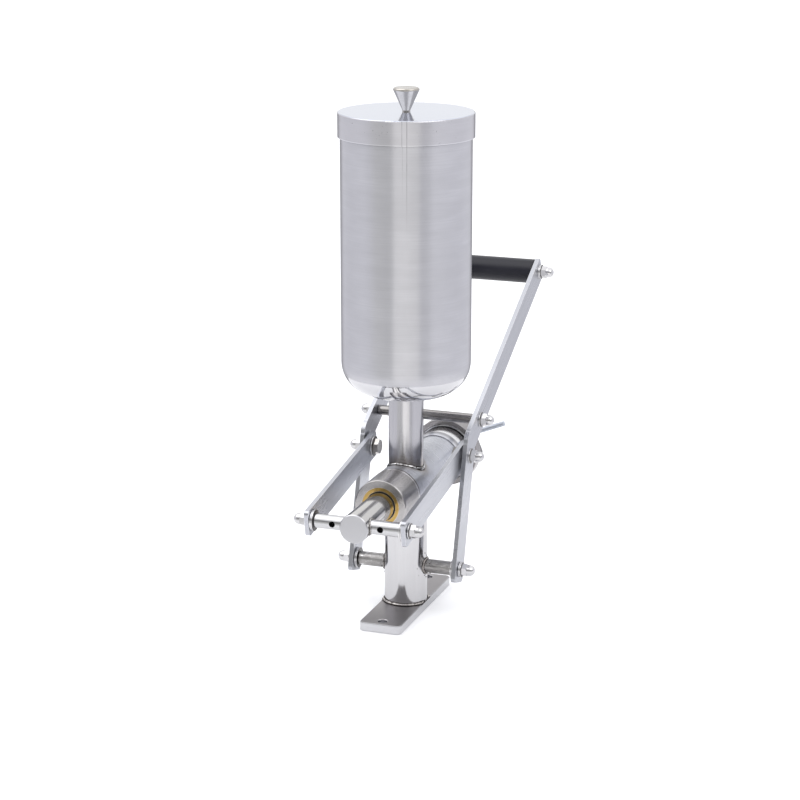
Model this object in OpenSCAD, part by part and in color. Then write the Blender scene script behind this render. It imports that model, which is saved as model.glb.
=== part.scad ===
// Churro filling machine: a bench-mounted lever pump.
// A hopper feeds a horizontal barrel. Two levers draw a piston through it and push the paste out at the rear.
// Millimetres. X is to the right, Y to the rear, Z up. The origin is under the base plate on the post's axis.

/* [Base plate] */
// Length of the base plate, front to rear
base_l = 181; // [160:1:240]
// Width of the base plate
base_w = 50; // [50:1:90]
// Thickness of the base plate
base_t = 10; // [6:0.5:16]
// Radius of the plate's corners in plan
base_corner_r = 6; // [2:0.5:15]
// Chamfer along the plate's upper edge
base_edge = 0.8; // [0.2:0.1:2]
// Diameter of the two bolt holes
base_hole_d = 11; // [6.5:0.5:14]
// Distance from a bolt hole's centre to the nearer end
base_hole_inset = 11.5; // [9:0.5:20]

/* [Column] */
// Outside diameter of the post
post_d = 50; // [46:0.5:54]
// Wall of the post tube
post_wall = 2; // [1.2:0.1:3]
// Height of the barrel's axis above the bench
barrel_z = 148.4; // [140:0.2:160]
// Outside diameter of the neck that carries the hopper
neck_d = 40; // [36:0.5:46]
// Wall of the neck tube
neck_wall = 2; // [1.2:0.1:3]
// Height of the hopper's lowest point above the barrel's axis
neck_rise = 104.8; // [95:0.2:130]
// Width of the weld bead around the post's foot
weld_w = 2.5; // [1:0.1:4]
// Width of the beads on the barrel and under the hopper
saddle_w = 1.5; // [1:0.1:3]

/* [Barrel] */
// Outside diameter of the barrel tube
barrel_d = 60; // [57:0.5:64]
// Bore of the barrel
bore_d = 52; // [48:0.5:53]
// Distance from the post's axis to the barrel's front end
barrel_front = 39; // [32:0.5:50]
// Distance from the post's axis to the barrel's rear end
barrel_rear = 150; // [140:0.5:170]
// Length of the spigot that centres the front cap
spigot_l = 8; // [4:0.5:14]
// Outside diameter of the threaded collar at the rear
collar_d = 70; // [69:0.5:72]
// Length of the collar's thread
collar_l = 9.5; // [6:0.5:11]
// Diameter of the collar's shank in front of the thread
shank_d = 66.4; // [65.4:0.1:68]
// Length of the shank
shank_l = 29.5; // [20:0.5:32]
// Length of the taper between the barrel and the shank
shank_taper = 6; // [3:0.5:8]
// Outside diameter of the front cap
cap_d = 60.8; // [58:0.2:66]
// Distance from the post's axis to the front cap's face
cap_front = 85.7; // [82:0.1:95]
// Thickness of the front cap's end wall
cap_wall = 12; // [8:0.5:13]
// Radius of the front cap's outer edge
cap_edge = 1.5; // [0.5:0.1:3]
// Outside diameter of the brass bush
bush_d = 44; // [40:0.5:47]

/* [Piston] */
// Diameter of the piston rod
rod_d = 33; // [28:0.5:34]
// Distance from the post's axis to the piston rod's front face
rod_front = 170; // [168:0.5:180]
// Length of the piston head
head_l = 55; // [48:0.5:55]
// Distance from the post's axis to the piston's working face at rest
head_face = 1.5; // [0.5:0.1:1.8]
// Thickness of a piston seal
seal_t = 3.5; // [2:0.1:5]
// Chamfer at the ends of turned bars
bar_chamfer = 1; // [0.3:0.1:2]

/* [Nozzle] */
// Wall of the union nut's round part
ring_wall = 5.65; // [4:0.05:8]
// Distance from the post's axis to the union nut's front face
ring_front = 138; // [134:0.5:139]
// Length of the union nut's round part
ring_l = 16; // [14:0.5:22]
// Width across the flats of the union nut's hexagon
hex_af = 67; // [64:0.5:70]
// Length of the hexagon
hex_l = 18; // [10:0.5:25]
// Angle of the hexagon's first corner
hex_turn = -7.5; // [-30:0.5:30]
// Diameter of the union nut's handle rod
nut_rod_d = 6; // [5:0.5:7]
// Reach of the handle rod's tip along its line
nut_rod_reach = 82; // [70:1:100]
// Angle of the handle rod above the horizontal
nut_rod_angle = 21.5; // [0:0.5:23]
// Distance of the handle rod's line above the barrel's axis
nut_rod_offset = 11.5; // [8:0.5:12]
// Bore of the nozzle outlet tube
nozzle_bore = 8; // [5:0.5:12]
// Wall of the nozzle outlet tube
nozzle_wall = 1; // [0.8:0.1:2]
// Distance from the post's axis to the nozzle's tip
nozzle_tip = 285; // [230:1:320]
// Length of the nozzle's cone
cone_l = 34; // [25:0.5:45]

/* [Hopper] */
// Outside diameter of the hopper
hopper_d = 147; // [130:1:170]
// Wall of the hopper
hopper_wall = 1.5; // [1:0.1:2.5]
// Height of the hopper from its lowest point to its rim
hopper_h = 324.4; // [240:0.2:400]
// Radius of the dished bottom's crown
crown_r = 150; // [130:1:180]
// Radius of the dished bottom's knuckle
knuckle_r = 38; // [25:0.5:45]
// Outside diameter of the lid
lid_d = 152.4; // [151.4:0.2:180]
// Height of the lid's skirt
lid_skirt = 27.4; // [15:0.2:45]
// Sheet thickness of the lid
lid_wall = 1.5; // [1:0.1:1.8]
// Diameter of the knob's top
knob_d = 29; // [22:0.5:40]
// Diameter of the knob's foot
knob_foot_d = 9; // [8:0.5:14]
// Height of the knob
knob_h = 26.5; // [18:0.5:35]

/* [Levers and links] */
// Height of the levers' pivot above the bench
pivot_z = 53.3; // [45:0.1:60]
// Lean of the levers' lower part behind the vertical
lever_lean = 16.1; // [15:0.1:18]
// Distance from the pivot to the link pins
crank_r = 131.5; // [129:0.1:134]
// Distance from the pivot to the bend in the levers
bend_r = 147.9; // [146:0.1:152]
// Rise of the levers' upper arm above the horizontal
arm_rise = 28.4; // [27:0.1:32]
// Length of the upper arm, from the bend to the grip's axis
arm_l = 306.5; // [240:0.5:350]
// Distance from the bend to the upper crossbar
brace_reach = 37.4; // [34:0.1:45]
// Width of the flat bars
bar_w = 30; // [24:0.5:32]
// Thickness of the flat bars
bar_t = 5; // [3:0.5:6]
// Corner radius of the flat bars
bar_corner_r = 4.5; // [1:0.1:8]
// Length of a lever beyond its pivot
lever_foot = 15; // [12:0.5:20]
// Length of a lever beyond the grip's axis
lever_head = 10; // [9:0.5:20]
// Length of a link beyond each of its pins
link_end = 12; // [10:0.5:16]
// Distance from the post's axis to the crosshead bar
crosshead = 154.65; // [154:0.05:158]
// Distance from the middle plane to the links' inner faces
link_x = 53.6; // [52:0.1:60]
// Diameter of the crosshead bar
crosshead_d = 16; // [13:0.5:18]
// Diameter of the cross holes in the crosshead bar
cross_hole_d = 7; // [4:0.5:9]
// Distance from the middle plane to each cross hole
cross_hole_x = 28; // [24:0.5:36]
// Diameter of the lever shaft
shaft_d = 16; // [13:0.5:20]
// Diameter of the upper crossbar
brace_d = 12; // [10:0.5:14]
// Diameter of the grip
grip_d = 30; // [24:0.5:36]
// Radius of the grip's ends
grip_edge = 2.5; // [0.5:0.1:5]
// Extra radius of the links' rear holes, which lets the linkage run
link_slack = 2.1; // [2:0.05:2.2]

/* [Fasteners] */
// Thread diameter of the bolts and nuts
thread_d = 8; // [6:0.5:9]
// Width across the flats of a nut
nut_af = 13; // [12:0.5:15]
// Height of a nut's hexagon
nut_hex_h = 6.5; // [5:0.1:8]
// Whole height of a cap nut
nut_h = 15; // [14.5:0.1:17]
// Diameter of a cap nut's dome
nut_dome_d = 12.5; // [11:0.1:12.8]
// Width across the flats of a link bolt's head
bolt_af = 16; // [13:0.5:18]
// Height of a link bolt's head
bolt_head_h = 6.4; // [4:0.1:7]
// Diameter of a washer
washer_d = 18; // [15.8:0.1:20]
// Diameter of the large washers on the inner side
large_washer_d = 24; // [20:0.5:26]
// Thickness of a washer
washer_t = 1.6; // [1:0.1:2]

/* [Hidden] */
$fn = 72;

// How far a cut runs past the surface that it starts from
over = 1;
// Radial gap of a seat between two fixed pieces
seat_gap = 0.05;
// Radial gap of a running fit
run_fit = 0.05;
// Side gap between pieces that turn against each other
side_gap = 0.3;
// Side gap between a link and the washer that the lever carries
link_gap = 0.4;

// Radii
post_r = post_d / 2;
neck_r = neck_d / 2;
barrel_r = barrel_d / 2;
bore_r = bore_d / 2;
rod_r = rod_d / 2;
thread_r = thread_d / 2;
washer_r = washer_d / 2;
large_washer_r = large_washer_d / 2;
shaft_r = shaft_d / 2;
brace_r = brace_d / 2;
crosshead_r = crosshead_d / 2;
bush_r = bush_d / 2;
nut_corner_d = nut_af / cos(30);
bolt_corner_d = bolt_af / cos(30);
// The spigot takes half of the barrel's wall
spigot_r = (barrel_r + bore_r) / 2;

// Small sizes of single pieces
base_hole_chamfer = 0.8;
shaft_weld_w = 1.6;
crossbar_weld_w = 1.8;
bush_recess = 0.6;
wiper_t = 1.1;
wiper_l = 4;
wiper_recess = 0.4;
seal_depth = 2.6;
head_spigot_d = 20;
head_spigot_l = 24;
gasket_t = 1.5;
flange_t = 5.5;
cone_wall = 2.5;
nozzle_seat = 8;
nozzle_step = 0.3;
collar_chamfer = 1;
collar_toe = 0.8;
ring_edge = 1.2;
nut_rod_seat = 3;
nut_lip = 4.2;
lid_edge = 1.6;
knob_edge = 2.4;
knob_foot_h = 1.4;
screw_d = 5;
screw_head_d = 9.5;
screw_head_h = 2.6;
screw_depth = 9;
screw_edge = 0.7;
nut_bore_depth = 11;
nut_chamfer_share = 0.5;
bolt_hex_edge_share = 0.4;

// Places along the barrel
collar_front = barrel_rear - collar_l - shank_l - shank_taper;
cap_inner = cap_front - cap_wall;
bush_face = -cap_front + bush_recess;
gasket_y = barrel_rear;
flange_y = gasket_y + gasket_t;
lip_y = flange_y + flange_t + side_gap;
hex_y = ring_front + ring_l;
nut_rear = hex_y + hex_l;
cone_y = flange_y + flange_t;
cone_end = cone_y + cone_l;
nozzle_r = nozzle_bore / 2 + nozzle_wall;
cone_big_r = hex_af / 2 - nut_lip - side_gap;
ring_bore_r = collar_d / 2 + side_gap + seat_gap;
ring_r = ring_bore_r + ring_wall;
head_rear = head_face + head_l;
seal_inset = seal_t + seal_t / 2;
seal_places = [-head_rear + seal_inset, -head_face - seal_inset];
cap_r = cap_d / 2;

// Places of the hopper's dished bottom
hopper_r = hopper_d / 2;
hopper_floor = barrel_z + neck_rise;
knuckle_x = hopper_r - knuckle_r;
centre_gap = crown_r - knuckle_r;
crown_drop = sqrt(centre_gap * centre_gap - knuckle_x * knuckle_x);
crown_z = hopper_floor + crown_r;
seam_z = crown_z - crown_drop;
crown_angle = asin(knuckle_x / centre_gap);
hopper_top = hopper_floor + hopper_h;
neck_top = crown_z - sqrt((crown_r - hopper_wall) * (crown_r - hopper_wall) - neck_r * neck_r);
weld_z = crown_z - sqrt(crown_r * crown_r - neck_r * neck_r);
lid_top = hopper_top + lid_wall;
lid_r = lid_d / 2;

// Places of the linkage, as [Y, Z]
pivot_at = [0, pivot_z];
lean_dir = [sin(lever_lean), cos(lever_lean)];
arm_dir = [cos(arm_rise), sin(arm_rise)];
pin_at = pivot_at + crank_r * lean_dir;
bend_at = pivot_at + bend_r * lean_dir;
brace_at = bend_at + brace_reach * arm_dir;
grip_at = bend_at + arm_l * arm_dir;
crosshead_at = [-crosshead, barrel_z];
link_run = pin_at - crosshead_at;
link_l = norm(link_run);
link_angle = atan2(link_run[1], link_run[0]);

// Places across the machine, from the middle plane outwards
lever_x = link_x + bar_t + link_gap + washer_t;
lever_out = lever_x + bar_t;
crosshead_shoulder = link_x - side_gap - washer_t - washer_t;
crosshead_washer = link_x + bar_t + side_gap;
crosshead_nut = crosshead_washer + washer_t;
shaft_shoulder = lever_x - side_gap - washer_t - washer_t;
shaft_washer = lever_out + side_gap;
shaft_nut = shaft_washer + washer_t + washer_t;
brace_nut = lever_out + washer_t;
grip_nut = lever_out + washer_t + washer_t;
link_nut = lever_out + washer_t;
bolt_washer = link_x - side_gap - washer_t;

// A round bar along X at [y, z], from x0 to x1
module bar_x(r, x0, x1, at) {
    translate([x0, at[0], at[1]])
        rotate([0, 90, 0])
            cylinder(r = r, h = x1 - x0);
}

// A round bar along Y on the barrel's axis, from y0 to y1
module bar_y(r, y0, y1) {
    translate([0, y0, barrel_z])
        rotate([-90, 0, 0])
            cylinder(r = r, h = y1 - y0);
}

// A tube along Y on the barrel's axis
module tube_y(r, hole_r, y0, y1) {
    difference() {
        bar_y(r, y0, y1);
        bar_y(hole_r, y0 - over, y1 + over);
    }
}

// A turned bar along Z with a chamfer at both ends
module turned(r, l, edge) {
    rotate_extrude()
        polygon([[0, 0], [r - edge, 0], [r, edge], [r, l - edge], [r - edge, l], [0, l]]);
}

// A turned bar along Z with rounded ends
module rounded_bar(r, l, edge) {
    rotate_extrude() {
        square([r - edge, l]);
        translate([0, edge])
            square([r, l - edge - edge]);
        for (end = [edge, l - edge])
            translate([r - edge, end])
                circle(edge);
    }
}

// A rounded rectangle around a bar's line, from -tail to l + head
module bar_outline(l, tail, head, w, corner) {
    translate([-tail + corner, -w / 2])
        square([l + tail + head - corner - corner, w]);
    translate([-tail, -w / 2 + corner])
        square([l + tail + head, w - corner - corner]);
    for (end = [-tail + corner, l + head - corner], side = [-1, 1])
        translate([end, side * (w / 2 - corner)])
            circle(corner);
}

// Stands an outline in [Y, Z] up and gives it a thickness along X, from x0
module plate_x(x0, t) {
    translate([x0, 0, 0])
        rotate([90, 0, 90])
            linear_extrude(t)
                children();
}

// Copies its child to the right and the left side, as mirror images
module both_sides() {
    children();
    mirror([1, 0, 0])
        children();
}

// A plain washer of radius r on the right side, with its inner face at x
module washer(r, x, at) {
    difference() {
        bar_x(r, x, x + washer_t, at);
        bar_x(thread_r + seat_gap, x - over, x + washer_t + over, at);
    }
}

// A cap nut on the right side: hexagon, short neck and dome over a blind bore
module cap_nut(x, at) {
    dome_r = nut_dome_d / 2;
    translate([x, at[0], at[1]])
        rotate([0, 90, 0])
            difference() {
                union() {
                    intersection() {
                        cylinder(d = nut_corner_d, h = nut_hex_h, $fn = 6);
                        turned(nut_corner_d / 2, nut_hex_h, (nut_corner_d - nut_af) * nut_chamfer_share);
                    }
                    cylinder(r = dome_r, h = nut_h - dome_r);
                    translate([0, 0, nut_h - dome_r])
                        sphere(dome_r);
                }
                translate([0, 0, -over])
                    cylinder(r = thread_r + seat_gap, h = nut_bore_depth + over);
            }
}

// A ring of weld where an upright tube of radius r meets the barrel
module saddle_weld(r, w, z0, z1) {
    difference() {
        intersection() {
            translate([0, 0, z0])
                cylinder(r = r + w, h = z1 - z0);
            bar_y(barrel_r + w, -post_d, post_d);
        }
        translate([0, 0, z0 - over])
            cylinder(r = r, h = z1 - z0 + over + over);
        bar_y(barrel_r, -post_d - over, post_d + over);
    }
}

// The outline of the base plate, drawn in by an inset
module base_outline(inset) {
    l = base_l - inset - inset;
    w = base_w - inset - inset;
    rotate(90)
        translate([-l / 2, 0])
            bar_outline(l, 0, 0, w, base_corner_r - inset);
}

// Flat bar foot with two bolt holes and a broken upper edge
module base_plate() {
    color("lightsteelblue")
        difference() {
            union() {
                linear_extrude(base_t - base_edge)
                    base_outline(0);
                linear_extrude(base_t)
                    base_outline(base_edge);
            }
            for (side = [-1, 1])
                translate([0, side * (base_l / 2 - base_hole_inset), 0]) {
                    translate([0, 0, -over])
                        cylinder(d = base_hole_d, h = base_t + over + over);
                    translate([0, 0, base_t - base_hole_chamfer])
                        cylinder(
                            d1 = base_hole_d,
                            r2 = base_hole_d / 2 + base_hole_chamfer + over,
                            h = base_hole_chamfer + over
                        );
                }
        }
}

// Fillet weld around the post's foot, kept within the plate's width
module base_weld() {
    color("slategray")
        intersection() {
            translate([0, 0, base_t])
                rotate_extrude()
                    polygon([[post_r, 0], [post_r + weld_w, 0], [post_r, weld_w]]);
            translate([-base_w / 2 + base_edge, -base_l / 2, 0])
                cube([base_w - base_edge - base_edge, base_l, barrel_z]);
        }
}

// Upright tube, cut to the barrel above and bored for the lever shaft
module post() {
    color("silver")
        difference() {
            translate([0, 0, base_t])
                cylinder(r = post_r, h = barrel_z - base_t);
            translate([0, 0, base_t - over])
                cylinder(r = post_r - post_wall, h = barrel_z - base_t + over + over);
            bar_y(barrel_r, -post_d, post_d);
            bar_x(shaft_r + seat_gap, -post_d, post_d, pivot_at);
        }
}

module post_weld() {
    color("slategray")
        saddle_weld(post_r, saddle_w, pivot_z, barrel_z);
}

// Barrel tube with the inlet under the neck and a spigot for the front cap
module barrel() {
    color("silver")
        difference() {
            union() {
                bar_y(barrel_r, -barrel_front, barrel_rear);
                bar_y(spigot_r, -barrel_front - spigot_l, -barrel_front);
            }
            bar_y(bore_r, -barrel_front - spigot_l - over, barrel_rear + over);
            translate([0, 0, barrel_z])
                cylinder(r = neck_r - neck_wall, h = barrel_r + over);
        }
}

// Collar on the barrel's rear end: a taper, a plain shank and the larger thread
module barrel_collar() {
    shank_r = shank_d / 2;
    thread_start = shank_taper + shank_l;
    color("silver")
        difference() {
            translate([0, collar_front, barrel_z])
                rotate([-90, 0, 0])
                    union() {
                        rotate_extrude()
                            polygon([
                                [0, 0],
                                [barrel_r + collar_toe, 0],
                                [shank_r, shank_taper],
                                [shank_r, thread_start],
                                [0, thread_start]
                            ]);
                        translate([0, 0, thread_start])
                            turned(collar_d / 2, collar_l, collar_chamfer);
                    }
            bar_y(barrel_r + seat_gap, collar_front - over, barrel_rear + over);
        }
}

// Cup that closes the barrel's front end and holds the bush
module front_cap() {
    cap_l = cap_front - barrel_front;
    color("lightgray")
        difference() {
            translate([0, -cap_front, barrel_z])
                rotate([-90, 0, 0])
                    rotate_extrude() {
                        translate([0, cap_edge])
                            square([cap_r, cap_l - cap_edge]);
                        square([cap_r - cap_edge, cap_l]);
                        translate([cap_r - cap_edge, cap_edge])
                            circle(cap_edge);
                    }
            bar_y(bush_r + seat_gap, -cap_front - over, -cap_inner + over);
            bar_y(bore_r, -cap_inner, -barrel_front + over);
            bar_y(spigot_r + seat_gap, -barrel_front - spigot_l - seat_gap, -barrel_front + over);
        }
}

// Brass bush that guides the piston rod, with a counterbore for its wiper
module rod_bush() {
    color("goldenrod")
        difference() {
            tube_y(bush_r, rod_r + run_fit, bush_face, -cap_inner);
            bar_y(rod_r + wiper_t, bush_face - over, bush_face + wiper_l);
        }
}

// Wiper ring in the bush's counterbore
module rod_seal() {
    color("dimgray")
        tube_y(
            rod_r + wiper_t - seat_gap,
            rod_r + run_fit,
            bush_face + wiper_recess,
            bush_face + wiper_l - seat_gap
        );
}

// Neck tube from the barrel up into the hopper's floor
module neck() {
    color("silver")
        difference() {
            translate([0, 0, barrel_z])
                cylinder(r = neck_r, h = neck_top - barrel_z);
            translate([0, 0, barrel_z - over])
                cylinder(r = neck_r - neck_wall, h = neck_top - barrel_z + over + over);
            bar_y(barrel_r, -neck_d, neck_d);
        }
}

module neck_weld() {
    color("slategray")
        saddle_weld(neck_r, saddle_w, barrel_z, barrel_z + barrel_d);
}

// Half section of the tank's outside, drawn in by the wall for its inside
module tank_section(inset, top) {
    reach = crown_r + crown_r;
    translate([0, seam_z])
        square([hopper_r - inset, top - seam_z]);
    intersection() {
        translate([knuckle_x, seam_z])
            circle(knuckle_r - inset);
        translate([0, hopper_floor])
            square([hopper_r, top - hopper_floor]);
    }
    intersection() {
        translate([0, crown_z])
            circle(crown_r - inset);
        polygon([
            [0, crown_z],
            [0, crown_z - reach],
            [reach * sin(crown_angle), crown_z - reach * cos(crown_angle)]
        ]);
    }
}

// Hopper: straight shell over a dished bottom, bored for the neck
module hopper() {
    color("gainsboro")
        difference() {
            rotate_extrude($fn = 144)
                difference() {
                    tank_section(0, hopper_top);
                    tank_section(hopper_wall, hopper_top + over);
                }
            translate([0, 0, hopper_floor - over])
                cylinder(r = neck_r + seat_gap, h = neck_top - hopper_floor + over + over);
        }
}

// Fillet weld under the hopper's floor, around the neck
module hopper_weld() {
    color("slategray")
        translate([0, 0, weld_z])
            rotate_extrude()
                polygon([[neck_r, 0], [neck_r + saddle_w, 0], [neck_r, -saddle_w]]);
}

// Shaft through the post, with a threaded stud at each end for the levers
module lever_shaft() {
    stud_x = shaft_nut + nut_bore_depth;
    color("gray")
        union() {
            translate([-shaft_shoulder, pivot_at[0], pivot_at[1]])
                rotate([0, 90, 0])
                    turned(shaft_r, shaft_shoulder + shaft_shoulder, bar_chamfer);
            bar_x(thread_r, -stud_x + seat_gap, stud_x - seat_gap, pivot_at);
        }
}

// Beads around the shaft where it leaves the post
module shaft_weld() {
    color("dimgray")
        difference() {
            intersection() {
                bar_x(shaft_r + shaft_weld_w, -post_d, post_d, pivot_at);
                translate([0, 0, base_t])
                    cylinder(r = post_r + shaft_weld_w, h = barrel_z - base_t);
            }
            translate([0, 0, base_t - over])
                cylinder(r = post_r, h = barrel_z);
            bar_x(shaft_r, -post_d - over, post_d + over, pivot_at);
        }
}

module shaft_washers() {
    color("lightgray")
        both_sides() {
            washer(large_washer_r, shaft_shoulder, pivot_at);
            washer(large_washer_r, shaft_shoulder + washer_t, pivot_at);
            washer(washer_r, shaft_washer, pivot_at);
            washer(washer_r, shaft_washer + washer_t, pivot_at);
        }
}

module shaft_nuts() {
    color("silver")
        both_sides()
            cap_nut(shaft_nut, pivot_at);
}

// Flat gasket between the barrel's end and the nozzle's flange
module nozzle_gasket() {
    color("dimgray")
        tube_y(collar_d / 2 - collar_chamfer, bore_r, gasket_y, flange_y);
}

// Nozzle: a flange that the union nut clamps, and a cone down to the outlet
module nozzle_body() {
    big_r = cone_big_r;
    color("silver")
        translate([0, flange_y, barrel_z])
            rotate([-90, 0, 0])
                difference() {
                    union() {
                        cylinder(r = collar_d / 2 - side_gap, h = flange_t);
                        translate([0, 0, flange_t])
                            cylinder(r1 = big_r, r2 = nozzle_r + cone_wall, h = cone_l);
                    }
                    translate([0, 0, -over])
                        cylinder(r = big_r - cone_wall, h = flange_t + over);
                    translate([0, 0, flange_t])
                        cylinder(r1 = big_r - cone_wall, r2 = nozzle_bore / 2, h = cone_l - cone_wall);
                    translate([0, 0, flange_t + cone_l - nozzle_seat])
                        cylinder(r = nozzle_r - nozzle_step + seat_gap, h = nozzle_seat + over);
                    translate([0, 0, flange_t])
                        cylinder(r = nozzle_bore / 2, h = cone_l);
                }
}

// Outlet tube that reaches into the churro, with its seated end turned down to a shoulder
module nozzle_tube() {
    seated_r = nozzle_r - nozzle_step;
    color("silver")
        union() {
            tube_y(nozzle_r, nozzle_bore / 2, cone_end, nozzle_tip);
            tube_y(seated_r, nozzle_bore / 2, cone_end - nozzle_seat + seat_gap, cone_end);
        }
}

// Union nut: a round ring with a hexagon behind it and a lip that holds the nozzle's flange
module nozzle_nut() {
    color("lightgray")
        difference() {
            translate([0, ring_front, barrel_z])
                rotate([-90, 0, 0])
                    union() {
                        rounded_bar(ring_r, ring_l, ring_edge);
                        intersection() {
                            rotate(-hex_turn)
                                cylinder(d = hex_af / cos(30), h = ring_l + hex_l, $fn = 6);
                            turned(hex_af / 2 / cos(30), ring_l + hex_l, ring_edge);
                        }
                    }
            bar_y(ring_bore_r, ring_front - over, lip_y);
            bar_y(cone_big_r + side_gap, lip_y - over, nut_rear + over);
            nut_rod(thread_gap = seat_gap);
        }
}

// The union nut's handle rod, or the hole for it
module nut_rod(thread_gap) {
    seat_r = ring_r - nut_rod_seat - thread_gap;
    start = sqrt(seat_r * seat_r - nut_rod_offset * nut_rod_offset);
    translate([0, ring_front + ring_l - nut_rod_d, barrel_z])
        rotate([0, 90 - nut_rod_angle, 0])
            translate([-nut_rod_offset, 0, start])
                rounded_bar(nut_rod_d / 2 + thread_gap, nut_rod_reach - start, bar_chamfer);
}

module nozzle_nut_handle() {
    color("silver")
        nut_rod(thread_gap = 0);
}

// Lid with a rounded upper edge and a skirt around the hopper's rim
module lid() {
    inner_r = lid_r - lid_wall;
    color("whitesmoke")
        difference() {
            translate([0, 0, lid_top - lid_skirt])
                rotate_extrude($fn = 144) {
                    square([lid_r, lid_skirt - lid_edge]);
                    square([lid_r - lid_edge, lid_skirt]);
                    translate([lid_r - lid_edge, lid_skirt - lid_edge])
                        circle(lid_edge, $fn = 36);
                }
            translate([0, 0, lid_top - lid_skirt - over])
                cylinder(r = inner_r, h = lid_skirt - lid_wall + over, $fn = 144);
            translate([0, 0, hopper_top - over])
                cylinder(d = screw_d + seat_gap, h = lid_wall + over + over);
        }
}

// Turned knob: a cone on a short foot that widens to a round rim
module lid_knob() {
    foot_r = knob_foot_d / 2;
    rim_x = knob_d / 2 - knob_edge;
    rim_z = knob_h - knob_edge;
    cone_angle = atan2(rim_z - knob_foot_h, rim_x - foot_r);
    color("silver")
        translate([0, 0, lid_top])
            difference() {
                rotate_extrude() {
                    polygon([
                        [0, 0],
                        [foot_r, 0],
                        [foot_r, knob_foot_h],
                        [rim_x + knob_edge * sin(cone_angle), rim_z - knob_edge * cos(cone_angle)],
                        [rim_x, rim_z],
                        [rim_x, knob_h],
                        [0, knob_h]
                    ]);
                    translate([rim_x, rim_z])
                        circle(knob_edge, $fn = 36);
                }
                translate([0, 0, -over])
                    cylinder(d = screw_d + seat_gap, h = screw_depth + over);
            }
}

// Screw from inside the lid into the knob
module knob_screw() {
    color("gray")
        translate([0, 0, hopper_top - screw_head_h])
            union() {
                rounded_bar(screw_head_d / 2, screw_head_h, screw_edge);
                cylinder(d = screw_d, h = screw_head_h + lid_wall + screw_depth - over);
            }
}

// Piston rod with a chamfered face, a cross bore for the crosshead and a spigot for the head
module piston_rod() {
    color("silver")
        difference() {
            translate([0, -rod_front, barrel_z])
                rotate([-90, 0, 0])
                    union() {
                        turned(rod_r, rod_front - head_rear, bar_chamfer);
                        cylinder(d = head_spigot_d, h = rod_front - head_rear + head_spigot_l);
                    }
            bar_x(crosshead_r + seat_gap, -rod_d, rod_d, crosshead_at);
        }
}

// Long piston head that shuts the inlet as it moves to the rear, with two seal grooves
module piston_head() {
    groove_r = bore_r - run_fit - seal_depth;
    color("white")
        difference() {
            translate([0, -head_rear, barrel_z])
                rotate([-90, 0, 0])
                    turned(bore_r - run_fit, head_l, bar_chamfer);
            bar_y(head_spigot_d / 2 + seat_gap, -head_rear - over, -head_rear + head_spigot_l + seat_gap);
            for (at = seal_places)
                tube_y(bore_r + over, groove_r, at - seal_t / 2, at + seal_t / 2);
        }
}

module piston_seals() {
    color("dimgray")
        for (at = seal_places)
            tube_y(
                bore_r - run_fit,
                bore_r - run_fit - seal_depth + seat_gap,
                at - seal_t / 2 + seat_gap,
                at + seal_t / 2 - seat_gap
            );
}

// Crosshead bar with two cross holes and a threaded stud at each end
module front_crossbar() {
    stud_x = crosshead_nut + nut_bore_depth - seat_gap;
    color("silver")
        difference() {
            union() {
                translate([-crosshead_shoulder, crosshead_at[0], crosshead_at[1]])
                    rotate([0, 90, 0])
                        turned(crosshead_r, crosshead_shoulder + crosshead_shoulder, bar_chamfer);
                bar_x(thread_r, -stud_x, stud_x, crosshead_at);
            }
            for (side = [-1, 1])
                translate([side * cross_hole_x, -crosshead - crosshead_d, barrel_z])
                    rotate([-90, 0, 0])
                        cylinder(d = cross_hole_d, h = crosshead_d + crosshead_d);
        }
}

// Beads around the crosshead bar where it leaves the piston rod
module crossbar_weld() {
    weld_y = crosshead_d;
    color("slategray")
        difference() {
            intersection() {
                bar_x(crosshead_r + crossbar_weld_w, -rod_d, rod_d, crosshead_at);
                bar_y(rod_r + crossbar_weld_w, -crosshead - weld_y, -crosshead + weld_y);
            }
            bar_y(rod_r, -crosshead - weld_y - over, -crosshead + weld_y + over);
            bar_x(crosshead_r, -rod_d - over, rod_d + over, crosshead_at);
        }
}

module crossbar_washers() {
    color("lightgray")
        both_sides() {
            washer(large_washer_r, crosshead_shoulder, crosshead_at);
            washer(large_washer_r, crosshead_shoulder + washer_t, crosshead_at);
            washer(washer_r, crosshead_washer, crosshead_at);
        }
}

module crossbar_nuts() {
    color("silver")
        both_sides()
            cap_nut(crosshead_nut, crosshead_at);
}

// Dog-leg lever of flat bar: lower part, rounded bend and upper arm
module lever_outline() {
    translate(pivot_at)
        rotate(90 - lever_lean)
            bar_outline(bend_r, lever_foot, 0, bar_w, bar_corner_r);
    translate(bend_at)
        circle(d = bar_w);
    translate(bend_at)
        rotate(arm_rise)
            bar_outline(arm_l, 0, lever_head, bar_w, bar_corner_r);
}

// The right lever, with holes for its pivot, the link pin, the brace and the grip
module right_lever() {
    color("silver")
        difference() {
            plate_x(lever_x, bar_t)
                lever_outline();
            bar_x(thread_r + run_fit, lever_x - over, lever_out + over, pivot_at);
            for (at = [pin_at, brace_at, grip_at])
                bar_x(thread_r + seat_gap, lever_x - over, lever_out + over, at);
        }
}

module left_lever() {
    mirror([1, 0, 0])
        right_lever();
}

// Brace between the levers, with a threaded stud at each end
module upper_crossbar() {
    stud_x = brace_nut + nut_bore_depth - seat_gap;
    color("silver")
        union() {
            translate([-lever_x, brace_at[0], brace_at[1]])
                rotate([0, 90, 0])
                    turned(brace_r, lever_x + lever_x, bar_chamfer);
            bar_x(thread_r, -stud_x, stud_x, brace_at);
        }
}

module upper_crossbar_washers() {
    color("lightgray")
        both_sides()
            washer(washer_r, lever_out, brace_at);
}

module upper_crossbar_nuts() {
    color("silver")
        both_sides()
            cap_nut(brace_nut, brace_at);
}

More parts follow.
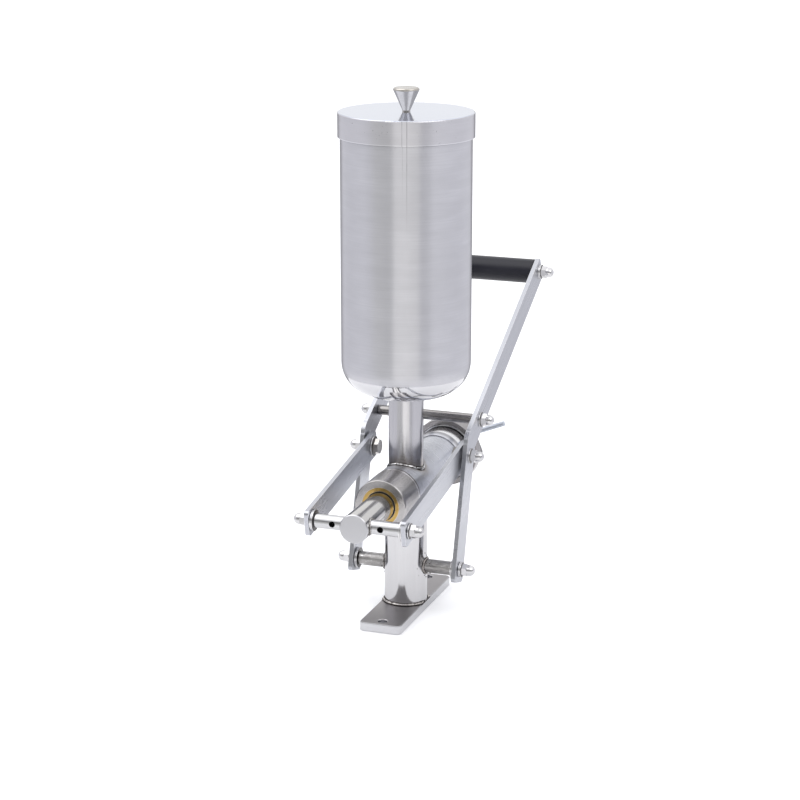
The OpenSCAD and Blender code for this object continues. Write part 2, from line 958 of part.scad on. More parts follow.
// Moulded grip between the levers, with rounded ends
module handle_grip() {
    color([0.05, 0.05, 0.06])
        difference() {
            translate([-lever_x, grip_at[0], grip_at[1]])
                rotate([0, 90, 0])
                    rounded_bar(grip_d / 2, lever_x + lever_x, grip_edge);
            bar_x(thread_r + seat_gap, -lever_x - over, lever_x + over, grip_at);
        }
}

// Tie rod through the grip and both levers
module handle_rod() {
    stud_x = grip_nut + nut_bore_depth - seat_gap;
    color("gray")
        bar_x(thread_r, -stud_x, stud_x, grip_at);
}

module handle_washers() {
    color("lightgray")
        both_sides() {
            washer(washer_r, lever_out, grip_at);
            washer(washer_r, lever_out + washer_t, grip_at);
        }
}

module handle_nuts() {
    color("silver")
        both_sides()
            cap_nut(grip_nut, grip_at);
}

// Hexagon bolts that carry the links' rear ends, with their heads on the inner side
module link_bolts() {
    stud_x = link_nut + nut_bore_depth - seat_gap;
    head_x = bolt_washer - bolt_head_h;
    color("silver")
        both_sides() {
            translate([head_x, pin_at[0], pin_at[1]])
                rotate([0, 90, 0])
                    intersection() {
                        cylinder(d = bolt_corner_d, h = bolt_head_h, $fn = 6);
                        turned(
                            bolt_corner_d / 2,
                            bolt_head_h,
                            (bolt_corner_d - bolt_af) * bolt_hex_edge_share
                        );
                    }
            bar_x(thread_r, bolt_washer, stud_x, pin_at);
        }
}

module link_washers() {
    color("lightgray")
        both_sides() {
            washer(large_washer_r, bolt_washer, pin_at);
            washer(washer_r, lever_x - washer_t, pin_at);
            washer(washer_r, lever_out, pin_at);
        }
}

module link_nuts() {
    color("silver")
        both_sides()
            cap_nut(link_nut, pin_at);
}

// Flat bar from the crosshead to the lever, with a running hole in front and a wide one behind
module right_link() {
    color("silver")
        difference() {
            plate_x(link_x, bar_t)
                translate(crosshead_at)
                    rotate(link_angle)
                        bar_outline(link_l, link_end, link_end, bar_w, bar_corner_r);
            bar_x(thread_r + run_fit, link_x - over, link_x + bar_t + over, crosshead_at);
            bar_x(thread_r + link_slack, link_x - over, link_x + bar_t + over, pin_at);
        }
}

module left_link() {
    mirror([1, 0, 0])
        right_link();
}

base_plate();
base_weld();
post();
post_weld();
barrel();
barrel_collar();
front_cap();
rod_bush();
rod_seal();
neck();
neck_weld();
hopper();
hopper_weld();
lever_shaft();
shaft_weld();
shaft_washers();
shaft_nuts();
nozzle_gasket();
nozzle_body();
nozzle_tube();
nozzle_nut();
nozzle_nut_handle();
lid();
lid_knob();
knob_screw();
piston_rod();
piston_head();
piston_seals();
front_crossbar();
crossbar_weld();
crossbar_washers();
crossbar_nuts();
left_lever();
right_lever();
upper_crossbar();
upper_crossbar_washers();
upper_crossbar_nuts();
handle_grip();
handle_rod();
handle_washers();
handle_nuts();
link_bolts();
link_washers();
link_nuts();
left_link();
right_link();
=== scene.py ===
# %% [markdown]
# # A churro filling machine in stainless steel
# This lesson dresses a finished model of a bench lever pump: a tall hopper over a steel barrel, with two
# bent levers, two links and a black grip. The machine's shape comes from the frame, so the work here is
# finish: brushed sheet, polished tube, turned bar, and the weld beads and washers that make it look
# built. Nothing in the frame moves or changes size.

# %% Load the frame
import math
import random

import bpy
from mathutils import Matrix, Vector


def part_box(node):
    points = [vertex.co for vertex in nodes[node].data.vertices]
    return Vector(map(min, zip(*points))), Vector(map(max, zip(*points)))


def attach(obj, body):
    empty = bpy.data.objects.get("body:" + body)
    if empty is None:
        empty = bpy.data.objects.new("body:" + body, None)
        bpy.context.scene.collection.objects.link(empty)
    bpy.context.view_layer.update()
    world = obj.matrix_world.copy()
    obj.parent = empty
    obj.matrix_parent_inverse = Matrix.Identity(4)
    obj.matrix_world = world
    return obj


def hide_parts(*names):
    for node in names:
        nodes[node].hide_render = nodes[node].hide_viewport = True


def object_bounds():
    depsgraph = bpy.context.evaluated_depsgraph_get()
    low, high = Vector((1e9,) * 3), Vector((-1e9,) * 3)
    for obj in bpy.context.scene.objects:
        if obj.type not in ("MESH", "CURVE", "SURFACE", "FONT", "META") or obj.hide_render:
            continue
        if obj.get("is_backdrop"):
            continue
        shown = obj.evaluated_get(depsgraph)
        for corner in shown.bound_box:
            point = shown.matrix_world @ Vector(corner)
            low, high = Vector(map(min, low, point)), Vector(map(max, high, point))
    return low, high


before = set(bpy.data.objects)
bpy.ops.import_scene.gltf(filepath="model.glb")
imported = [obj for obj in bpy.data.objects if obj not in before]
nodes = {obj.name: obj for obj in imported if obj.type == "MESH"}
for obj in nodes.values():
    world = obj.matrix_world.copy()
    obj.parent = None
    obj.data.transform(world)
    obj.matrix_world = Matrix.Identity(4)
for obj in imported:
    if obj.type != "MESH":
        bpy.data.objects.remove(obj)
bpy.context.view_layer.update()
scene = bpy.context.scene
print("pieces in the frame:", len(nodes))

# %% [markdown]
# ## The camera
# A product photograph like this is taken with a long lens from a little above the bench. The lens and the
# place were worked out from the photograph by matching the straight edges and round ends of the machine.
# A long lens keeps the hopper's sides almost parallel, and a slight downward tilt shows the lid's top.

# %% Camera
SENSOR = 36.0
FRAME_PX = 800
FOCAL_PX = 2229.4
CAMERA_AT = Vector((0.8207, -2.3072, 0.9226))
CAMERA_YAW = math.radians(19.744)
CAMERA_PITCH = math.radians(15.364)

camera_data = bpy.data.cameras.new("camera")
camera_data.sensor_width = SENSOR
camera_data.lens = SENSOR * FOCAL_PX / FRAME_PX
camera_data.clip_start = 0.05
camera_data.clip_end = 100
camera = bpy.data.objects.new("camera", camera_data)
camera.location = CAMERA_AT
camera.rotation_euler = (math.pi / 2 - CAMERA_PITCH, 0, CAMERA_YAW)
scene.collection.objects.link(camera)
scene.camera = camera
print("lens", round(camera_data.lens, 1), "mm")

# %% [markdown]
# ## Small helpers for node trees
# Every world, material and node group below is wired from the same few nodes, so each gets a short
# function that adds it, sets it and returns its output.

# %% Adding and joining nodes


def link(tree, source, target):
    """Joins an output socket to an input socket."""
    tree.links.new(source, target)


def feed(tree, socket, value):
    """Sets an input from a number, a colour or an output socket."""
    if isinstance(value, (int, float)):
        socket.default_value = value
    elif isinstance(value, tuple):
        socket.default_value = (*value, 1) if len(socket.default_value) == 4 else value
    else:
        link(tree, value, socket)


def shade_node(tree, kind, **values):
    """Adds a shader node and sets its plain properties."""
    made = tree.nodes.new(kind)
    for name, value in values.items():
        setattr(made, name, value)
    return made


# %% [markdown]
# ### Numbers and vectors
# Masks are worked out with Math and Vector Math nodes. A Map Range node set to Smoothstep turns a
# distance or a height into a mask with a soft edge, and it is the one that is used most below.

# %% Math nodes


def math_node(tree, operation, *inputs, clamp=False):
    """Adds a Math node whose inputs are sockets or numbers, and returns its output."""
    made = shade_node(tree, "ShaderNodeMath", operation=operation, use_clamp=clamp)
    for socket, value in zip(made.inputs, inputs):
        feed(tree, socket, value)
    return made.outputs[0]


def vector_node(tree, operation, a, b):
    """Adds a Vector Math node and returns it."""
    made = shade_node(tree, "ShaderNodeVectorMath", operation=operation)
    for socket, value in zip(made.inputs, (a, b)):
        feed(tree, socket, value)
    return made


def split(tree, vector):
    """The X, Y and Z outputs of a vector."""
    made = shade_node(tree, "ShaderNodeSeparateXYZ")
    link(tree, vector, made.inputs[0])
    return made.outputs


def smooth_step(tree, value, start, end):
    """Rises softly from 0 at start to 1 at end, and start may be the larger."""
    made = shade_node(tree, "ShaderNodeMapRange", interpolation_type="SMOOTHSTEP")
    made.inputs["From Min"].default_value = start
    made.inputs["From Max"].default_value = end
    link(tree, value, made.inputs["Value"])
    return made.outputs["Result"]


# %% [markdown]
# ### Ramps and mixes
# A Color Ramp turns noise into a mask and an angle into a band of the room. A Mix node then lays one
# colour or number over another through a mask. Its sockets are found by their place, because those for
# colours and for numbers share their names.

# %% Ramps and mixes


def ramp_node(tree, factor, stops, interpolation="LINEAR"):
    """Adds a Color Ramp with grey or coloured stops, and returns its colour output."""
    made = shade_node(tree, "ShaderNodeValToRGB")
    made.color_ramp.interpolation = interpolation
    points = made.color_ramp.elements
    while len(points) < len(stops):
        points.new(1.0)
    for point, (place, value) in zip(points, stops):
        point.position = place
        point.color = (value, value, value, 1) if isinstance(value, (int, float)) else (*value, 1)
    link(tree, factor, made.inputs["Fac"])
    return made.outputs["Color"]


def mix_color(tree, factor, a, b):
    """Adds a colour Mix whose inputs are sockets, numbers or colours, and returns its output."""
    made = shade_node(tree, "ShaderNodeMix", data_type="RGBA")
    for slot, value in ((0, factor), (6, a), (7, b)):
        feed(tree, made.inputs[slot], value)
    return made.outputs[2]


def mix_value(tree, factor, a, b):
    """Adds a number Mix and returns its output."""
    made = shade_node(tree, "ShaderNodeMix", data_type="FLOAT")
    for slot, value in ((0, factor), (2, a), (3, b)):
        feed(tree, made.inputs[slot], value)
    return made.outputs[0]


# %% [markdown]
# ## The white room
# Bare steel shows mostly what stands around it, so the room matters more than the lamps. A photographer
# would put the machine on a white sweep under a large soft box, with grey flags beside it that draw the
# upright bands down the hopper, and leave the room behind the camera dark. Real cards and boxes could be
# built around the machine, but each one would also block the others. So all of it is painted on the world
# by direction, in three bands: a low one, one at the horizon and one above it, then the soft box overhead
# and the pale bench below.

# %% Bands of the room
scene.view_settings.view_transform = "Standard"
COOL = (0.965, 0.965, 1.02)
PLAIN = (1.0, 1.0, 1.0)
WARM = (1.0, 0.985, 0.965)

# Rows of angle, brightness and tint. The angle is 0 towards the camera and grows towards its right
LOW_BANDS = [
    (-180, 0.95, PLAIN), (-168, 0.35, COOL), (-154, 0.42, COOL), (-146, 0.88, COOL), (-64, 0.88, COOL),
    (-57, 0.78, PLAIN), (-26, 0.74, PLAIN), (-20, 1.62, WARM), (4, 1.60, WARM), (10, 1.38, WARM),
    (20, 1.34, WARM), (26, 0.70, COOL), (38, 0.70, COOL), (48, 0.96, COOL), (100, 0.92, COOL),
    (120, 0.94, COOL), (148, 0.90, COOL), (156, 0.38, COOL), (168, 0.30, COOL), (180, 0.95, PLAIN),
]
LEVEL_BANDS = [
    (-180, 0.95, PLAIN), (-168, 0.35, COOL), (-154, 0.42, COOL), (-146, 0.88, COOL), (-64, 0.84, COOL),
    (-57, 0.74, PLAIN), (-26, 0.70, PLAIN), (-20, 0.88, PLAIN), (20, 0.84, PLAIN), (26, 0.66, COOL),
    (38, 0.66, COOL), (48, 0.94, COOL), (100, 0.92, COOL), (120, 0.94, COOL), (148, 0.90, COOL),
    (156, 0.38, COOL), (168, 0.30, COOL), (180, 0.95, PLAIN),
]
UPPER_BANDS = [
    (-180, 1.05, PLAIN), (-82, 1.0, COOL), (-64, 0.40, PLAIN), (-30, 0.34, PLAIN), (30, 0.34, PLAIN),
    (62, 0.42, COOL), (80, 0.95, COOL), (180, 1.05, PLAIN),
]
SOFT_BOX = (1.25, 1.25, 1.27)
BENCH_BELOW = (0.95, 0.95, 0.96)
print("room bands:", len(LOW_BANDS), len(LEVEL_BANDS), len(UPPER_BANDS))

# %% [markdown]
# ### Painting the room
# The direction of look is turned so that the camera's side is at zero. Its angle picks the place on each
# ramp, and its height picks the ramp. The camera itself sees plain white behind the machine, as in the
# photograph.

# %% World
# Heights of look, from -1 straight down to 1 straight up, between which one part gives way to the next
LOW_TO_LEVEL = (-0.24, -0.10)
LEVEL_TO_UPPER = (0.02, 0.12)
UPPER_TO_BOX = (0.42, 0.62)
LOW_TO_BENCH = (-0.36, -0.60)


def around(stops):
    """Turns angle stops into ramp stops."""
    return [(angle / 360 + 0.5, tuple(level * c for c in tint)) for angle, level, tint in stops]


world = bpy.data.worlds.new("white_room")
world.use_nodes = True
scene.world = world
room = world.node_tree
room.nodes.clear()
turned = shade_node(room, "ShaderNodeVectorRotate", rotation_type="Z_AXIS")
turned.inputs["Angle"].default_value = -CAMERA_YAW
link(room, shade_node(room, "ShaderNodeTexCoord").outputs["Generated"], turned.inputs["Vector"])
look = split(room, turned.outputs[0])
angle = math_node(room, "ARCTAN2", look["X"], math_node(room, "MULTIPLY", look["Y"], -1.0))
place = math_node(room, "MULTIPLY_ADD", angle, 1 / math.tau, 0.5)
low = ramp_node(room, place, around(LOW_BANDS), "EASE")
level = ramp_node(room, place, around(LEVEL_BANDS), "EASE")
upper = ramp_node(room, place, around(UPPER_BANDS), "EASE")
painted = low
for heights, beyond in (
    (LOW_TO_LEVEL, level), (LEVEL_TO_UPPER, upper), (UPPER_TO_BOX, SOFT_BOX), (LOW_TO_BENCH, BENCH_BELOW)
):
    painted = mix_color(room, smooth_step(room, look["Z"], *heights), painted, beyond)
seen = shade_node(room, "ShaderNodeLightPath").outputs["Is Camera Ray"]
background = shade_node(room, "ShaderNodeBackground")
link(room, mix_color(room, seen, painted, PLAIN), background.inputs["Color"])
room_out = shade_node(room, "ShaderNodeOutputWorld")
link(room, background.outputs[0], room_out.inputs["Surface"])
print("nodes in the world:", len(room.nodes))

# %% [markdown]
# ## Bench
# Two sheets stand for the bench. The wide one only catches the faint shadow beside the foot. The small
# one is seen only in reflections and stands for the white paper under the machine, so low pieces mirror a
# white bench while the hopper looks past its edge into the room. One sheet can't do both: wide enough for
# the picture, it would also fill the lower half of every mirror.

# %% Bench
FLOOR_SIZE = 40.0
FLOOR_DROP = 0.0002
SWEEP_R = 0.60
MATT = 0.9


def deselect():
    """Leaves nothing selected, because an operator acts on all that is."""
    if bpy.context.object and bpy.context.object.mode != "OBJECT":
        bpy.ops.object.mode_set(mode="OBJECT")
    bpy.ops.object.select_all(action="DESELECT")


def new_material(name):
    """A new material with its nodes switched on."""
    material = bpy.data.materials.new(name)
    material.use_nodes = True
    return material


def shader_of(material):
    """A material's main shader."""
    return material.node_tree.nodes["Principled BSDF"]


def sheet_of(name, color, glow):
    """The active object becomes a matt stage sheet with a little light of its own."""
    sheet = bpy.context.object
    sheet.name = name
    material = new_material(name)
    shader = shader_of(material)
    shader.inputs["Base Color"].default_value = (*color, 1)
    shader.inputs["Roughness"].default_value = MATT
    shader.inputs["Emission Color"].default_value = (1, 1, 1, 1)
    shader.inputs["Emission Strength"].default_value = glow
    sheet.data.materials.append(material)
    sheet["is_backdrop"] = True
    return sheet


deselect()
bpy.ops.mesh.primitive_plane_add(size=FLOOR_SIZE, location=(0, 0, -2 * FLOOR_DROP))
floor = sheet_of("floor", (0.93, 0.935, 0.95), 0.16)
floor.visible_glossy = False
deselect()
bpy.ops.mesh.primitive_circle_add(vertices=64, radius=SWEEP_R, fill_type="NGON", location=(0, 0, -FLOOR_DROP))
sweep = sheet_of("sweep", (0.92, 0.92, 0.93), 0.0)
sweep.visible_camera = False
sweep.visible_diffuse = False
sweep.visible_shadow = False
print("sheets:", floor.name, sweep.name)

# %% [markdown]
# ## Lamps
# The painted room gives most of the light. Two large, weak lamps add a little direction and the faint
# shadow beside the foot. They are large because a small lamp would leave a hard spot on every polished
# tube.

# %% Lamps


def soft_lamp(name, place, size, power, aim):
    """A large square lamp that faces a point."""
    data = bpy.data.lights.new(name, "AREA")
    data.energy = power
    data.size = size
    lamp = bpy.data.objects.new(name, data)
    lamp.location = place
    lamp.rotation_euler = (Vector(aim) - Vector(place)).to_track_quat("-Z", "Y").to_euler()
    scene.collection.objects.link(lamp)


soft_lamp("key", (-1.3, -0.5, 2.3), 2.4, 18, (0, 0, 0.1))
soft_lamp("fill", (1.8, -0.6, 1.9), 1.8, 12, (0, 0, 0.2))

# %% [markdown]
# ## Shared surface effects
# Several finishes on this machine come from the same few causes: brush lines, turning lines, handling
# marks, edges rubbed bright, and the marks beside a weld. They could be wired into each material again,
# but then every change would be made twenty times. So each cause is one node group, built once and used
# with its own values. A group gives only masks and values, and the shader stays in the material.

# %% Helpers for node groups
FLOAT = "NodeSocketFloat"
VECTOR = "NodeSocketVector"


def new_group(name, inputs, outputs):
    """Starts a shader node group. inputs are (name, socket type, default) rows, and outputs (name, type)."""
    tree = bpy.data.node_groups.new(name, "ShaderNodeTree")
    for label, kind, value in inputs:
        made = tree.interface.new_socket(label, in_out="INPUT", socket_type=kind)
        if value is not None:
            made.default_value = value
    for label, kind in outputs:
        tree.interface.new_socket(label, in_out="OUTPUT", socket_type=kind)
    start = tree.nodes.new("NodeGroupInput")
    end = tree.nodes.new("NodeGroupOutput")
    return tree, start.outputs, end.inputs


def noise(tree, vector, scale, detail=2.0, roughness=0.5):
    """Adds a noise texture and returns its grey output."""
    made = shade_node(tree, "ShaderNodeTexNoise")
    link(tree, vector, made.inputs["Vector"])
    feed(tree, made.inputs["Scale"], scale)
    made.inputs["Detail"].default_value = detail
    made.inputs["Roughness"].default_value = roughness
    return made.outputs["Fac"]


def use_group(tree, group, **values):
    """Places a node group, sets its numbers and joins its sockets."""
    made = shade_node(tree, "ShaderNodeGroup", node_tree=group)
    for name, value in values.items():
        if isinstance(value, (int, float, tuple)):
            made.inputs[name].default_value = value
        else:
            link(tree, value, made.inputs[name])
    return made.outputs


# %% [markdown]
# ### Brush lines along a direction
# A belt leaves scratches that all run with its stroke. A picture of brushed steel would show where it
# repeats, so stretched noise is used instead: it changes slowly along the stroke and quickly across it.
# The same noise at a coarser scale gives the wide streaks where the belt pressed harder.

# %% Straight brush
WIDE_STREAKS = (0.5, 0.14, 0.14)


def brush_marks(tree, stroke, coarser, outputs):
    """Fine lines from a stretched vector, and wide streaks from the same vector at a coarser scale."""
    broad = vector_node(tree, "MULTIPLY", stroke, coarser).outputs[0]
    link(tree, noise(tree, stroke, 1.0, 3.0, 0.6), outputs["Lines"])
    link(tree, noise(tree, broad, 1.0, 2.0), outputs["Streaks"])


# Density is in lines per metre and differs by axis: few along the stroke, many across it
straight_brush, given, made_of = new_group(
    "straight_brush",
    [("Vector", VECTOR, None), ("Density", VECTOR, (12.0, 1400.0, 1400.0))],
    [("Lines", FLOAT), ("Streaks", FLOAT)],
)
stroke = vector_node(straight_brush, "MULTIPLY", given["Vector"], given["Density"]).outputs[0]
brush_marks(straight_brush, stroke, WIDE_STREAKS, made_of)
print(straight_brush.name, len(straight_brush.nodes), "nodes")

# %% [markdown]
# ### Turning and brushing around an axis
# A lathe tool, or a belt held against a shell that spins, leaves rings. The same noise is used, but the
# coordinates are unrolled first: the angle around the axis becomes the slow direction, and the distances
# from the axis and along it the quick ones. The vector comes in with the axis of turning along Z.

# %% Ring brush
CELLS_PER_RADIAN = 1.6
RING_STREAKS = (1.0, 0.07, 0.07)


def off_axis(tree, at):
    """The distance from the Z axis, from split coordinates."""
    flat = shade_node(tree, "ShaderNodeCombineXYZ")
    link(tree, at["X"], flat.inputs["X"])
    link(tree, at["Y"], flat.inputs["Y"])
    return vector_node(tree, "LENGTH", flat.outputs[0], (0, 0, 0)).outputs["Value"]


ring_brush, given, made_of = new_group(
    "ring_brush",
    [("Vector", VECTOR, None), ("Density", FLOAT, 1500.0)],
    [("Lines", FLOAT), ("Streaks", FLOAT)],
)
at = split(ring_brush, given["Vector"])
around_axis = math_node(ring_brush, "ARCTAN2", at["Y"], at["X"])
unrolled = shade_node(ring_brush, "ShaderNodeCombineXYZ")
for label, value, cells in (
    ("X", around_axis, CELLS_PER_RADIAN), ("Y", off_axis(ring_brush, at), given["Density"]),
    ("Z", at["Z"], given["Density"]),
):
    link(ring_brush, math_node(ring_brush, "MULTIPLY", value, cells), unrolled.inputs[label])
brush_marks(ring_brush, unrolled.outputs[0], RING_STREAKS, made_of)
print(ring_brush.name, len(ring_brush.nodes), "nodes")

# %% [markdown]
# ### Handling marks
# Fingers and cloths leave cloudy smudges, and a workshop leaves a few pits. Both are plain noise: a soft
# one for the smudges, and a fine one of which only the highest peaks are kept for the pits. A smudge is
# felt more in the roughness than in the colour.

# %% Handling marks
PITS_FINER = 45.0
handling, given, made_of = new_group(
    "handling",
    [("Vector", VECTOR, None), ("Scale", FLOAT, 14.0)],
    [("Smudge", FLOAT), ("Speck", FLOAT)],
)
cloudy = noise(handling, given["Vector"], given["Scale"], 4.0, 0.6)
link(handling, ramp_node(handling, cloudy, [(0.35, 0.0), (0.72, 1.0)]), made_of["Smudge"])
specks = noise(handling, given["Vector"], math_node(handling, "MULTIPLY", given["Scale"], PITS_FINER), 1.0)
link(handling, ramp_node(handling, specks, [(0.72, 0.0), (0.80, 1.0)]), made_of["Speck"])
print(handling.name, len(handling.nodes), "nodes")

# %% [markdown]
# ### Rubbed edges
# Polishing and use leave corners brighter than the face beside them, and the same brightening is also a
# painted highlight on every corner, standing in for the light that a rounded edge would catch. The Bevel node
# finds the corners: it gives the normal that a rounded corner would have, and where that leans away from the
# true normal an edge is near. So no edge has to be picked by hand.

# %% Rubbed edges with a painted highlight
# The edge colour is partly wear and partly a painted highlight
EDGE_BRIGHT_WIDTH = 0.0007
EDGE_BRIGHT_GAIN = 6.0
edge_wear_and_highlight, given, made_of = new_group("edge_wear_and_highlight", [("Sharpness", FLOAT, 1.0)], [("Edge", FLOAT)])
rounded = shade_node(edge_wear_and_highlight, "ShaderNodeBevel", samples=4)
rounded.inputs["Radius"].default_value = EDGE_BRIGHT_WIDTH
flat_normal = shade_node(edge_wear_and_highlight, "ShaderNodeNewGeometry").outputs["Normal"]
agree = vector_node(edge_wear_and_highlight, "DOT_PRODUCT", rounded.outputs["Normal"], flat_normal).outputs["Value"]
apart = math_node(edge_wear_and_highlight, "SUBTRACT", 1.0, agree)
strength = math_node(edge_wear_and_highlight, "MULTIPLY", given["Sharpness"], EDGE_BRIGHT_GAIN)
link(edge_wear_and_highlight, math_node(edge_wear_and_highlight, "MULTIPLY", apart, strength, clamp=True), made_of["Edge"])
print(edge_wear_and_highlight.name, len(edge_wear_and_highlight.nodes), "nodes")

# %% [markdown]
# ### Distance from a tube's skin
# Heat tint and soot lie where two tubes meet. A painted mask would need a map of each piece. The tubes
# are plain cylinders whose places are known, so the distance to the other tube's skin is worked out
# instead. The vector comes in with that tube's axis along Z, and Near falls from 1 at the skin to 0 at
# Reach.

# %% Distance from a tube's skin
tube_near, given, made_of = new_group(
    "tube_near",
    [("Vector", VECTOR, None), ("Radius", FLOAT, 0.02), ("Reach", FLOAT, 0.006)],
    [("Near", FLOAT)],
)
from_axis = off_axis(tube_near, split(tube_near, given["Vector"]))
off_skin = math_node(tube_near, "ABSOLUTE", math_node(tube_near, "SUBTRACT", from_axis, given["Radius"]))
share = math_node(tube_near, "DIVIDE", off_skin, given["Reach"])
link(tube_near, math_node(tube_near, "SUBTRACT", 1.0, share, clamp=True), made_of["Near"])
print(tube_near.name, len(tube_near.nodes), "nodes")

# %% [markdown]
# ## The metals
# Every metal here is the same stainless steel with another last tool: a belt along a bar, a belt around a
# shell, a lathe, a polishing mop, or nothing at all. So one function writes a metal from a few choices:
# colour, roughness, how the lines run, and how much handling shows. Brush lines spread a highlight across
# themselves, which is what makes brushed metal read as brushed, and the shader's Anisotropic value with a
# quarter turn does that. Patterns are laid out in metres on each object's own coordinates, so a brush
# line is as fine on a nut as on the hopper.

# %% Coordinates and grain


def object_vector(tree, centre=(0, 0, 0), turn=(0, 0, 0)):
    """Object coordinates, moved so that centre is the origin, then turned."""
    coordinates = shade_node(tree, "ShaderNodeTexCoord").outputs["Object"]
    moved = vector_node(tree, "SUBTRACT", coordinates, centre).outputs[0]
    rotated = shade_node(tree, "ShaderNodeMapping", vector_type="POINT")
    rotated.inputs["Rotation"].default_value = turn
    link(tree, moved, rotated.inputs["Vector"])
    return rotated.outputs[0]


def grain_bump(tree, shader, height, strength, depth):
    """Lets a pattern raise the surface by depth metres."""
    bump = shade_node(tree, "ShaderNodeBump")
    bump.inputs["Strength"].default_value = strength
    bump.inputs["Distance"].default_value = depth
    link(tree, height, bump.inputs["Height"])
    link(tree, bump.outputs["Normal"], shader.inputs["Normal"])


# %% [markdown]
# ### One function for every metal
# It starts from the brush lines, which set colour, roughness and a very low bump together, as a real
# scratch does. Then come smudges, bright edges where they are wanted, and the spread of the highlight. A
# piece without lines, such as a cap nut, takes its shades from the smudges alone.

# %% One function for every metal
# Colour of edges: partly rubbed bright by wear, partly a painted highlight
WORN_EDGE_AND_HIGHLIGHT = (0.84, 0.85, 0.86)
CELLS_ALONG = 14.0
QUARTER_TURN = 0.25
STEEL_BUMP = 0.6
LIGHTER = 0.6


def metal(name, color, rough, lines=None, centre=(0, 0, 0), turn=(0, 0, 0), density=1500.0, depth=0.00001,
          anisotropic=0.0, smudge=0.06, edge=0.0, tangent_axis="Z", contrast=0.10, streaks=0.5, cloud=0.3):
    """A steel finish. lines is None, "ring" or "straight"; rough is (polished, dull)."""
    material = new_material(name)
    tree = material.node_tree
    shader = shader_of(material)
    shader.inputs["Metallic"].default_value = 1.0
    vector = object_vector(tree, centre, turn)
    smudges = use_group(tree, handling, Vector=vector)["Smudge"]
    dark = tuple(c * (1 - contrast) for c in color)
    light = tuple(min(1.0, c * (1 + contrast * LIGHTER)) for c in color)
    if lines:
        if lines == "ring":
            brush = use_group(tree, ring_brush, Vector=vector, Density=density)
        else:
            brush = use_group(tree, straight_brush, Vector=vector, Density=(CELLS_ALONG, density, density))
        shade = mix_color(tree, brush["Lines"], dark, light)
        broad = ramp_node(tree, brush["Streaks"], [(0.3, 0.0), (0.7, 1.0)])
        shade = mix_color(tree, math_node(tree, "MULTIPLY", broad, streaks), shade, dark)
        dull = math_node(tree, "MULTIPLY_ADD", brush["Lines"], rough[1] - rough[0], rough[0])
        grain_bump(tree, shader, brush["Lines"], STEEL_BUMP, depth)
    else:
        shade = mix_color(tree, smudges, light, dark)
        dull = math_node(tree, "MULTIPLY_ADD", smudges, rough[1] - rough[0], rough[0])
    shade = mix_color(tree, math_node(tree, "MULTIPLY", smudges, cloud), shade, dark)
    dull = math_node(tree, "MULTIPLY_ADD", smudges, smudge, dull)
    if edge:
        shade = mix_color(tree, use_group(tree, edge_wear_and_highlight, Sharpness=edge)["Edge"], shade, WORN_EDGE_AND_HIGHLIGHT)
    if anisotropic:
        shader.inputs["Anisotropic"].default_value = anisotropic
        shader.inputs["Anisotropic Rotation"].default_value = QUARTER_TURN
        tangent = shade_node(tree, "ShaderNodeTangent", direction_type="RADIAL", axis=tangent_axis)
        link(tree, tangent.outputs[0], shader.inputs["Tangent"])
    link(tree, shade, shader.inputs["Base Color"])
    link(tree, dull, shader.inputs["Roughness"])
    return material


# %% [markdown]
# ### Giving a material to the frame's pieces
# A piece from the frame comes with a plain material or with none. Its slots are filled and none is added
# beside them, so that no face keeps the old material.

# %% Dressing a piece


def dress(material, *names):
    """Gives CAD nodes a material."""
    for name in names:
        node = nodes[name]
        if not node.material_slots:
            node.data.materials.append(material)
        for slot in node.material_slots:
            slot.material = material
    print(material.name, "on", ", ".join(names))


# %% [markdown]
# ### Stains
# Soot, heat tint and the line where a polishing mop stopped are laid over a metal after it is made. A
# second material on part of a piece would need its mesh cut, and the frame's meshes stay as they are. So
# a stain mixes one more colour into the finished material through a mask, and a roughness too where it is
# duller or shinier.

# %% Stains and their masks
RAGGED_SCALE = 260.0
RAGGED_SHARE = 0.5
LOOKS_ALONG = 0.7


def stain(material, mask, color, rough=None):
    """Lays a colour, and a roughness if given, over a finished material where a mask is 1."""
    tree = material.node_tree
    shader = shader_of(material)
    base = shader.inputs["Base Color"]
    link(tree, mix_color(tree, mask, base.links[0].from_socket, color), base)
    if rough is not None:
        dull = shader.inputs["Roughness"]
        link(tree, mix_value(tree, mask, dull.links[0].from_socket, rough), dull)


def tube_mask(material, tube, reach, low=0.0, high=1.0):
    """A ragged mask that is 1 close to the skin of a tube, given as (centre, turn, radius)."""
    tree = material.node_tree
    centre, turn, radius = tube
    vector = object_vector(tree, centre, turn)
    near = use_group(tree, tube_near, Vector=vector, Radius=radius, Reach=reach)["Near"]
    ragged = math_node(tree, "MULTIPLY_ADD", noise(tree, vector, RAGGED_SCALE, 3.0), RAGGED_SHARE, near)
    ragged = math_node(tree, "SUBTRACT", ragged, RAGGED_SHARE / 2)
    return smooth_step(tree, ragged, low, high)


def rise(material, axis, start, end):
    """A mask along X, Y or Z that is 0 at start and 1 at end, in metres of the object."""
    tree = material.node_tree
    return smooth_step(tree, split(tree, object_vector(tree))[axis], start, end)


def facing(material, axis):
    """How far a face looks along X, Y or Z, from -1 to 1."""
    tree = material.node_tree
    return split(tree, shade_node(tree, "ShaderNodeNewGeometry").outputs["Normal"])[axis]


def top_mask(material):
    """1 on faces that look up."""
    return math_node(material.node_tree, "GREATER_THAN", facing(material, "Z"), LOOKS_ALONG)


# %% [markdown]
# ### Where the finishes lie
# The lathe lines follow each tube's own axis, and the heat marks lie beside the tubes. Their places could
# be typed in again, but the frame already holds them, so the middles and radii are read from its boxes. A
# Mapping node's turn then brings a tube's axis onto the axis that the group reads.

